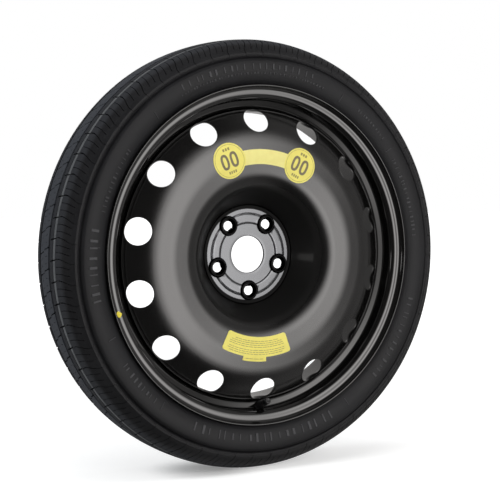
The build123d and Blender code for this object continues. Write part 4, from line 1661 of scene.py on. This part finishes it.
@dataclass
class NoteSticker:
    """A yellow sector with a tab and plain thin lines."""

    disc: PressedDisc
    low_r: float = 123.94
    high_r: float = 154.44
    angles: Point = (241.9, 287.7)
    tab_r: float = 161.24
    tab_angles: Point = (256.7, 271.3)
    corner: float = 4.0
    line_half: float = 0.42
    lines: tuple[Point, ...] = (
        (130.6, 6.5), (133.6, 4.0), (136.6, 3.0), (139.6, 3.0), (144.4, 3.5), (147.4, 3.0), (150.4, 4.5))
    tab_line: Point = (157.4, 1.5)
    dash: Point = (1.2, 3.4)
    dash_gap: float = 0.45
    shortest: float = 0.8
    seed: int = 11

    def bend(self, radius: float, angle: float, inward: float, way: float, first: float) -> list[Point]:
        """A rounded corner of the sector, inward of a radius and beside an angle."""
        middle_r = radius + inward * self.corner
        middle = polar(middle_r, angle + way * math.degrees(self.corner / middle_r))
        return [spot(middle, first + 15.0 * k, self.corner) for k in range(7)]

    def outline(self) -> list[Point]:
        """The sector's outline with rounded corners and the tab on its outer side."""
        low, high = self.angles
        lean_low = math.degrees(self.corner / (self.low_r + self.corner))
        lean_high = math.degrees(self.corner / (self.high_r - self.corner))
        made = self.bend(self.high_r, low, -1.0, 1.0, low - 90.0)
        made += arc_points(self.high_r, low + lean_high, self.tab_angles[0])[1:]
        made += arc_points(self.tab_r, *self.tab_angles)
        made += arc_points(self.high_r, self.tab_angles[1], high - lean_high)[:-1]
        made += self.bend(self.high_r, high, -1.0, -1.0, high)
        made += self.bend(self.low_r, high, 1.0, -1.0, high + 90.0)
        made += arc_points(self.low_r, high - lean_low, low + lean_low)[1:-1]
        return made + self.bend(self.low_r, low, 1.0, 1.0, low + 180.0)

    def build(self) -> Piece:
        """Builds and dresses the sticker."""
        draw = random.Random(self.seed)
        film = Label("note_sticker", self.disc, "note_label")
        film.add(self.outline(), 0)
        lines = [(radius, self.angles[0] + inset, self.angles[1] - inset) for radius, inset in self.lines]
        radius, inset = self.tab_line
        lines.append((radius, self.tab_angles[0] + inset, self.tab_angles[1] - inset))
        for radius, first, last in lines:
            angle = first
            while angle < last - self.shortest:
                end = min(angle + draw.uniform(*self.dash), last)
                outer = arc_points(radius + self.line_half, angle, end, 1.0)
                film.add(outer + arc_points(radius - self.line_half, end, angle, 1.0), 1)
                angle = end + self.dash_gap
        return film.build([YELLOW_FILM, FINE_INK])


@dataclass
class PaintMark:
    """A dab of yellow paint on the outer flange's hollow."""

    rim: RolledRim
    place_r: float = 250.0
    angle: float = 198.3
    radius: float = 4.7
    height: float = 0.33
    uneven: float = 0.07
    gap: float = 0.05
    dome: tuple[Point, ...] = (
        (0.0, 1.0), (0.25, 0.99), (0.5, 0.95), (0.72, 0.86), (0.88, 0.7), (0.97, 0.4), (1.0, 0.1), (0.98, 0.0))
    columns: int = 48

    def build(self) -> Piece:
        """Builds and dresses the dab."""
        line = self.rim.line
        s = np.linspace(0, line.length / 3, LINE_SAMPLES)
        place, normal = line.at(s)
        inner = place + normal * self.rim.thickness
        shown = s < line.length / 8
        middle = float(s[shown][np.argmin(np.abs(inner[shown][:, 0] - self.place_r))])
        a = full_turn(self.columns)
        wobble = 1 + self.uneven * (np.sin(2 * a + 0.4) + 0.5 * np.sin(5 * a))
        rows = []
        for share, rise in self.dome:
            reach = self.radius * share * wobble
            place, up = line.at(middle + reach * np.sin(a))
            lifted = place + up * (self.rim.thickness + self.gap + self.height * rise)
            rows.append(about_axis(*lifted.T, self.angle + np.degrees(reach * np.cos(a) / self.place_r)))
        shell = Shell().grid(np.array(rows), closed=True)
        shell.faces.append(tuple(range(len(shell.points) - self.columns, len(shell.points))))
        return present(shell.mesh("paint_dab"), [MARK_PAINT], 60.0, Body.WHEEL, "match_dot")


@dataclass
class SnapValve:
    """The snap-in valve: rubber body, threaded brass stem, core with its spring, and a ribbed cap."""

    rim: RolledRim
    angle: float = 271.53
    shift: float = 0.96
    foot_r: float = 7.4
    foot_length: float = 2.6
    neck_r: float = 6.0
    tip_r: float = 5.3
    rubber_end: float = 20.5
    hole_r: float = 5.75
    bulb_r: float = 7.8
    bulb_length: float = 8.4
    stem_r: float = 3.85
    stem_end: float = 29.5
    stem_bore: float = 2.65
    thread_pitch: float = 0.8
    thread_depth: float = 0.42
    cap_r: float = 5.1
    cap_low: float = 20.8
    cap_high: float = 32.2
    cap_bore: float = 4.15
    cap_roof: float = 30.6
    ribs: int = 26
    spring_low: float = 15.04
    spring_high: float = 22.96
    spring_r: float = 0.98
    wire_r: float = 0.14
    turns: int = 6
    barrel_floor: float = 14.9
    core_r: float = 2.2
    core_seat: Point = (17.7, 18.5)
    rib_wide: float = 0.55
    rib_rise: float = 0.26
    columns: int = 48

    def __post_init__(self) -> None:
        """Finds the valve's place: square to the well's outboard wall."""
        rim = self.rim
        lean = math.atan2(rim.outboard_slope, rim.seat_end_r - rim.well_r)
        top = np.array([rim.seat_end_r, -rim.seat_end_y])
        along = np.array([-math.cos(lean), math.sin(lean)])
        out = np.array([-math.sin(lean), -math.cos(lean)])
        radius = (rim.well_r + rim.seat_end_r) / 2 + self.shift
        start = top + out * rim.thickness
        place = start + along * ((radius - start[0]) / along[0])
        turn = math.radians(self.angle)
        spoke, axis = Vector((math.cos(turn), 0.0, math.sin(turn))), Vector((0.0, 1.0, 0.0))
        self.out = (spoke * out[0] + axis * out[1]).normalized()
        self.base = spoke * place[0] + axis * place[1]
        side = self.out.cross(axis).normalized()
        self.frame = place_by_axes(side, self.out.cross(side), self.out, self.base)

    def place(self, rows: Array) -> Array:
        """Moves points drawn along Z from the rim's face to the valve's place."""
        turned = np.array(self.frame)
        return rows @ turned[:3, :3].T + turned[:3, 3]

    def ring(self, radius: Any, height: float) -> Array:
        """A ring of points round the valve's axis, drawn along Z."""
        spin = full_turn(self.columns)
        return np.stack([radius * np.cos(spin), radius * np.sin(spin), 0 * spin + height], -1)

    def turned(self, name: str, section: Sequence[Point]) -> Mesh:
        """A closed section of (radius, height) turned about the valve's axis."""
        rows = np.array([self.ring(*corner) for corner in (*section, section[0])])
        return Shell().grid(self.place(rows), closed=True).mesh(name)

    def body(self) -> Piece:
        """The rubber body, pulled through the rim's hole."""
        back, foot, end = -self.rim.thickness, self.foot_length, self.rubber_end
        bulb_r, bulb_end = self.bulb_r, back - self.bulb_length
        section = [
            (self.stem_r + 0.02, bulb_end), (bulb_r - 2.6, bulb_end), (bulb_r - 1.6, bulb_end + 0.8),
            (bulb_r - 0.1, back - 3.4), (bulb_r, back - 2.6), (bulb_r, back - 0.4), (bulb_r - 0.3, back),
            (self.hole_r, back), (self.hole_r, 0.03), (self.foot_r - 0.3, 0.03), (self.foot_r, 0.35),
            (self.foot_r, foot - 0.7), (self.foot_r - 0.2, foot - 0.2), (self.foot_r - 0.6, foot),
            (self.neck_r + 0.5, foot + 0.5), (self.neck_r + 0.1, foot + 1.4), (self.neck_r, foot + 2.6),
            (self.neck_r - 0.2, 10.0), (self.tip_r + 0.1, end - 2.4), (self.tip_r, end - 0.7),
            (self.tip_r - 0.25, end - 0.2), (self.tip_r - 0.7, end), (self.stem_r + 0.02, end)]
        mesh = self.turned("valve_rubber_body", section)
        return present(mesh, [VALVE_RUBBER], 50.0, Body.WHEEL, "valve_body")

    def stem(self) -> Piece:
        """The brass stem with its outside thread."""
        spin = full_turn(self.columns)
        heights = np.arange(self.rubber_end - 0.4, self.stem_end - 0.7, self.thread_pitch / 8)
        low = -self.rim.thickness - self.bulb_length + 1.0
        rows = [self.ring(*corner) for corner in (
            (self.core_r, low), (self.stem_r, low), (self.stem_r, heights[0] - 0.2))]
        for height in heights:
            phase = (height / self.thread_pitch - spin / math.tau) % 1.0
            fade = min(1.0, height - heights[0], (heights[-1] - height) / 0.8)
            rows.append(self.ring(self.stem_r - self.thread_depth * fade * np.abs(2 * phase - 1.0), height))
        rows += [self.ring(*corner) for corner in (
            (self.stem_r, self.stem_end - 0.55), (self.stem_r - 0.5, self.stem_end),
            (self.stem_bore + 0.25, self.stem_end), (self.stem_bore, self.stem_end - 0.3),
            (self.stem_bore, self.core_seat[1]), (self.core_r, self.core_seat[0]), (self.core_r, low))]
        mesh = Shell().grid(self.place(np.array(rows)), closed=True).mesh("threaded_stem")
        return present(mesh, [VALVE_BRASS], 38.0, Body.WHEEL, "valve_stem")

    def spring(self) -> Piece:
        """The core's coil spring, which in the valve shortens as the pin is pressed; here the piece only gets its
        own copy of its mesh.
        """
        rows = []
        steps = self.turns * 28
        for i in range(steps + 1):
            a = math.tau * self.turns * i / steps
            outward, axis = np.array([math.cos(a), math.sin(a), 0.0]), np.array([0.0, 0.0, 1.0])
            height = self.spring_low + (self.spring_high - self.spring_low) * i / steps
            middle = self.spring_r * outward + height * axis
            rows.append([middle + self.wire_r * (outward * math.cos(b) + axis * math.sin(b))
                         for b in full_turn(10)])
        mesh = Shell().grid(self.place(np.array(rows)), closed=True).cap(10).mesh("coil_spring")
        piece = present(mesh, [SPRING_STEEL], 60.0, Body.WHEEL, "core_spring")
        reach = self.spring_high - self.spring_low + 2 * self.wire_r
        travel = next(j["range_m"][1] for j in frame["joints"] if j["name"] == "pin_press") / MM
        anchor = self.base + self.out * self.barrel_floor
        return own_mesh(piece, "pin_press", axis=tuple(self.out), anchor=tuple(anchor * MM),
                         keep=(reach - travel) / reach)

    def cap(self, scatter: ScatterTree) -> Piece:
        """The screw cap with ribs round its skirt."""
        low, high = self.cap_low, self.cap_high
        shell_r = self.cap_r - 0.28
        section = [(self.cap_bore, low), (shell_r - 0.25, low), (shell_r, low + 0.25), (shell_r, high - 1.3),
                   (shell_r - 0.1, high - 0.75), (shell_r - 0.4, high - 0.3), (shell_r - 0.9, high),
                   (2.5, high), (2.2, high - 0.25), (0.0001, high - 0.25), (0.0001, self.cap_roof),
                   (self.cap_bore, self.cap_roof)]
        mesh = self.turned("ribbed_cap", section)
        places = []
        for a in full_turn(self.ribs):
            up = Vector((math.cos(a), math.sin(a), 0.0))
            along = Vector((0.0, 0.0, 1.0))
            middle = up * shell_r + along * ((low + high) / 2 - 0.5)
            placed = self.frame @ place_by_axes(along, up.cross(along), up, middle)
            placed.translation = placed.translation * MM
            places.append(placed)
        bar = put("rib_bar", rounded_bar((high - low - 2.4) * MM, self.rib_wide * MM, self.rib_rise * MM, 0.6))
        join(mesh, scatter.scatter(places, bar, CAP_PLASTIC))
        return present(mesh, [CAP_PLASTIC], 50.0, Body.CAP, "valve_cap")

    def build(self, scatter: ScatterTree) -> None:
        """Builds and dresses the whole valve."""
        self.body()
        self.stem()
        self.spring()
        self.cap(scatter)


def dress_nodes() -> None:
    """Gives the small turned and moulded nodes that keep their shape a finish each."""
    finishes = {
        "core_plug": VALVE_BRASS, "core_pin": PIN_BRASS, "core_seal": SEAL_RUBBER, "cup_seal": SEAL_RUBBER,
        "cap_seal": SEAL_RUBBER, "bead_core_outboard": BEAD_WIRE, "bead_core_inboard": BEAD_WIRE}
    for node, finish in finishes.items():
        mesh = frame["nodes"][node].data
        mesh.materials.clear()
        mesh.materials.append(finish.material())
        LOG.info("%s: dressed as %s", node, finish.name)


def direction(azimuth: float, elevation: float) -> Triple:
    """A way from the wheel: azimuth 0 is straight in front and 90 to the right, in degrees."""
    a, e = math.radians(azimuth), math.radians(elevation)
    return math.sin(a) * math.cos(e), -math.cos(a) * math.cos(e), math.sin(e)


@dataclass(frozen=True)
class SoftBox:
    """A soft box that looks at the wheel and stays out of reflections."""

    name: str
    azimuth: float
    elevation: float
    distance: float
    size: Point
    power: float
    colour: Colour

    def build(self) -> None:
        """Adds the lamp."""
        away = Vector(direction(self.azimuth, self.elevation))
        data = bpy.data.lights.new(self.name, "AREA")
        data.shape = "RECTANGLE"
        data.size, data.size_y = self.size
        data.energy, data.color = self.power, self.colour
        lamp = bpy.data.objects.new(self.name, data)
        lamp.location = away * self.distance
        lamp.rotation_euler = away.to_track_quat("Z", "Y").to_euler()
        lamp.visible_glossy = False
        bpy.context.scene.collection.objects.link(lamp)


SOFT_BOXES = (
    SoftBox("front_box", azimuth=8.0, elevation=20.0, distance=2.6, size=(2.2, 1.7), power=25.5,
            colour=(1.0, 0.98, 0.95)),
    SoftBox("left_box", azimuth=-98.0, elevation=24.0, distance=2.4, size=(1.1, 1.6), power=18.0,
            colour=(0.90, 0.96, 1.0)),
    SoftBox("top_box", azimuth=10.0, elevation=78.0, distance=2.4, size=(2.0, 1.4), power=22.0,
            colour=(1.0, 1.0, 1.0)))


@dataclass
class Studio:
    """A white floor and background, soft boxes, a dim room for reflections and the photograph's camera."""

    floor_z: float
    azimuth: float = -28.611
    elevation: float = 3.052
    roll: float = -0.086
    distance: float = 2.069045
    lens: float = 95.75
    sensor: float = 36.0
    shift: Point = (0.00863, 0.00806)
    fill: float = 0.4
    floor_half: float = 14.0
    floor_white: float = 0.85
    white_from: Point = (1.0, 3.0)
    floor_glow: float = 0.5
    # Less floor glow round a spot beside the tyre's contact: a painted shadow.
    painted_shadow_glow: float = 0.22
    painted_shadow_spot: Point = (-0.075, 0.0)
    painted_shadow_reach: float = 0.1
    screen_left: Point = (1.0, 16.0)
    screen_right: Point = (32.0, 16.0)
    screen_low: Point = (-0.55, -0.22)
    screen_top: Point = (0.2, 0.7)
    screen_glow: float = 4.4
    screen_tint: Colour = (1.0, 0.975, 0.955)
    side_glow: float = 0.25
    side_from: Point = (17.0, 52.0)
    strip_glow: float = 2.6
    strip_sides: Point = (-90.0, -74.0)
    strip_heights: Point = (-0.04, 0.12)
    back_glow: float = 0.22
    back_from: Point = (105.0, 135.0)
    room_glow: float = 0.06
    room_reach: float = 4.0

    def camera(self) -> None:
        """Sets the camera at the photograph's viewing angle."""
        back = Vector(direction(self.azimuth, self.elevation))
        data = bpy.data.cameras.new("view")
        data.lens, data.sensor_width = self.lens, self.sensor
        data.shift_x, data.shift_y = self.shift
        data.clip_start, data.clip_end = 0.01, 100.0
        eye = bpy.data.objects.new("view", data)
        eye.location = back * self.distance
        eye.rotation_mode = "QUATERNION"
        level = (-back).to_track_quat("-Z", "Y")
        eye.rotation_quaternion = level @ Matrix.Rotation(math.radians(self.roll), 3, "Z").to_quaternion()
        bpy.context.scene.collection.objects.link(eye)
        bpy.context.scene.camera = eye

    def world(self) -> None:
        """White to the camera, and a soft grey fill for the light that falls on things."""
        world = bpy.data.worlds.new("studio")
        bpy.context.scene.world = world
        world.use_nodes = True
        graph = Graph(world.node_tree)
        graph.tree.nodes.clear()
        strength = self.fill + (1.0 - self.fill) * graph.seen()
        sky = graph.out("ShaderNodeBackground", {"Color": (1, 1, 1, 1), "Strength": strength})
        graph.node("ShaderNodeOutputWorld", {"Surface": sky})

    def floor(self) -> None:
        """A wide white floor that keeps the wheel's shadow and adds a painted shadow: less glow round a spot
        beside the tyre's contact.
        """
        corners = ((-1, -1), (1, -1), (1, 1), (-1, 1))
        mesh = bpy.data.meshes.new("floor")
        mesh.from_pydata([(x * self.floor_half, y * self.floor_half, self.floor_z) for x, y in corners], [],
                         [(0, 1, 2, 3)])
        material = bpy.data.materials.new("white_floor")
        surface = Surface(material)
        surface.set(Base_Color=(self.floor_white,) * 3, Roughness=0.9, Specular_IOR_Level=0.0)
        # Painted shadow: the floor glows less near the spot beside the tyre's contact.
        apart = surface.length(surface.x - self.painted_shadow_spot[0], surface.y - self.painted_shadow_spot[1])
        near = 1.0 - apart.rise(0.2 * self.painted_shadow_reach, self.painted_shadow_reach)
        far = surface.length(surface.x, surface.y).rise(*self.white_from)
        light = surface.blend(near, (self.floor_glow,) * 3, (self.painted_shadow_glow,) * 3)
        glow = surface.blend(surface.seen(), (0.0, 0.0, 0.0), surface.blend(far, light, (1.0, 1.0, 1.0)))
        surface.set(Emission_Color=glow, Emission_Strength=1.0)
        mesh.materials.append(material)
        ground = put("floor", mesh)
        ground.visible_glossy = False

    def glow(self, surface: Surface) -> Val:
        """The room's brightness by direction: a screen in front, a brighter right, a strip and the back."""
        azimuth = surface.math("ARCTAN2", surface.x, 0.0 - surface.y) * math.degrees(1.0)
        height = surface.z / self.room_reach
        (left, left_soft), (right, right_soft) = self.screen_left, self.screen_right
        front = azimuth.rise(left - left_soft, left + left_soft) * height.rise(*self.screen_low)
        front = front * (1.0 - azimuth.rise(right - right_soft, right + right_soft))
        front = front * (1.0 - height.rise(*self.screen_top)) * self.screen_glow
        strip = azimuth.within(*self.strip_sides, 3.0) * height.within(*self.strip_heights, 0.03)
        back = abs(azimuth).rise(*self.back_from)
        side = azimuth.rise(*self.side_from)
        lit = strip * self.strip_glow + back * self.back_glow + side * self.side_glow
        return front + lit + self.room_glow

    def room(self) -> None:
        """A dim room that only reflections see."""
        rows = [[direction(azimuth, elevation) for azimuth in np.arange(0, 360, 6)]
                for elevation in np.linspace(-88, 88, 23)]
        mesh = Shell().grid(np.array(rows) * self.room_reach / MM, True).mesh("dim_room", merge=False)
        material = bpy.data.materials.new("dim_room")
        surface = Surface(material)
        surface.set(Base_Color=(0.0, 0.0, 0.0), Roughness=1.0, Specular_IOR_Level=0.0, Emission_Strength=1.0)
        sockets = {0: self.screen_tint, "Scale": self.glow(surface)}
        surface.set(Emission_Color=surface.out("ShaderNodeVectorMath", sockets, operation="SCALE"))
        mesh.materials.append(material)
        piece = put("dim_room", mesh)
        for rays in ("camera", "diffuse", "transmission", "shadow"):
            setattr(piece, f"visible_{rays}", False)

    def build(self) -> None:
        """Builds the studio."""
        bpy.context.scene.view_settings.view_transform = "Standard"
        self.camera()
        self.world()
        self.floor()
        self.room()
        for box in SOFT_BOXES:
            box.build()


def main() -> None:
    """Builds every sub-assembly in order and the studio round it."""
    logging.basicConfig(level=logging.INFO, format="%(name)s %(message)s")
    ring, wrap, scatter = RingTree(), TreadTree(), ScatterTree()
    rim = RolledRim()
    disc = PressedDisc(rim.well_r - rim.thickness)
    rim.build()
    disc.build(ring)
    SkirtWelds(disc.skirt_r).build(ring)
    Tyre(rim.seat_r, rim.half_width).build(wrap, scatter)
    SnapValve(rim).build(scatter)
    SpeedSticker(disc).build()
    NoteSticker(disc).build()
    PaintMark(rim).build()
    dress_nodes()
    Studio(float(CAD_BOX[0].z)).build()


if __name__ == "__main__":
    main()
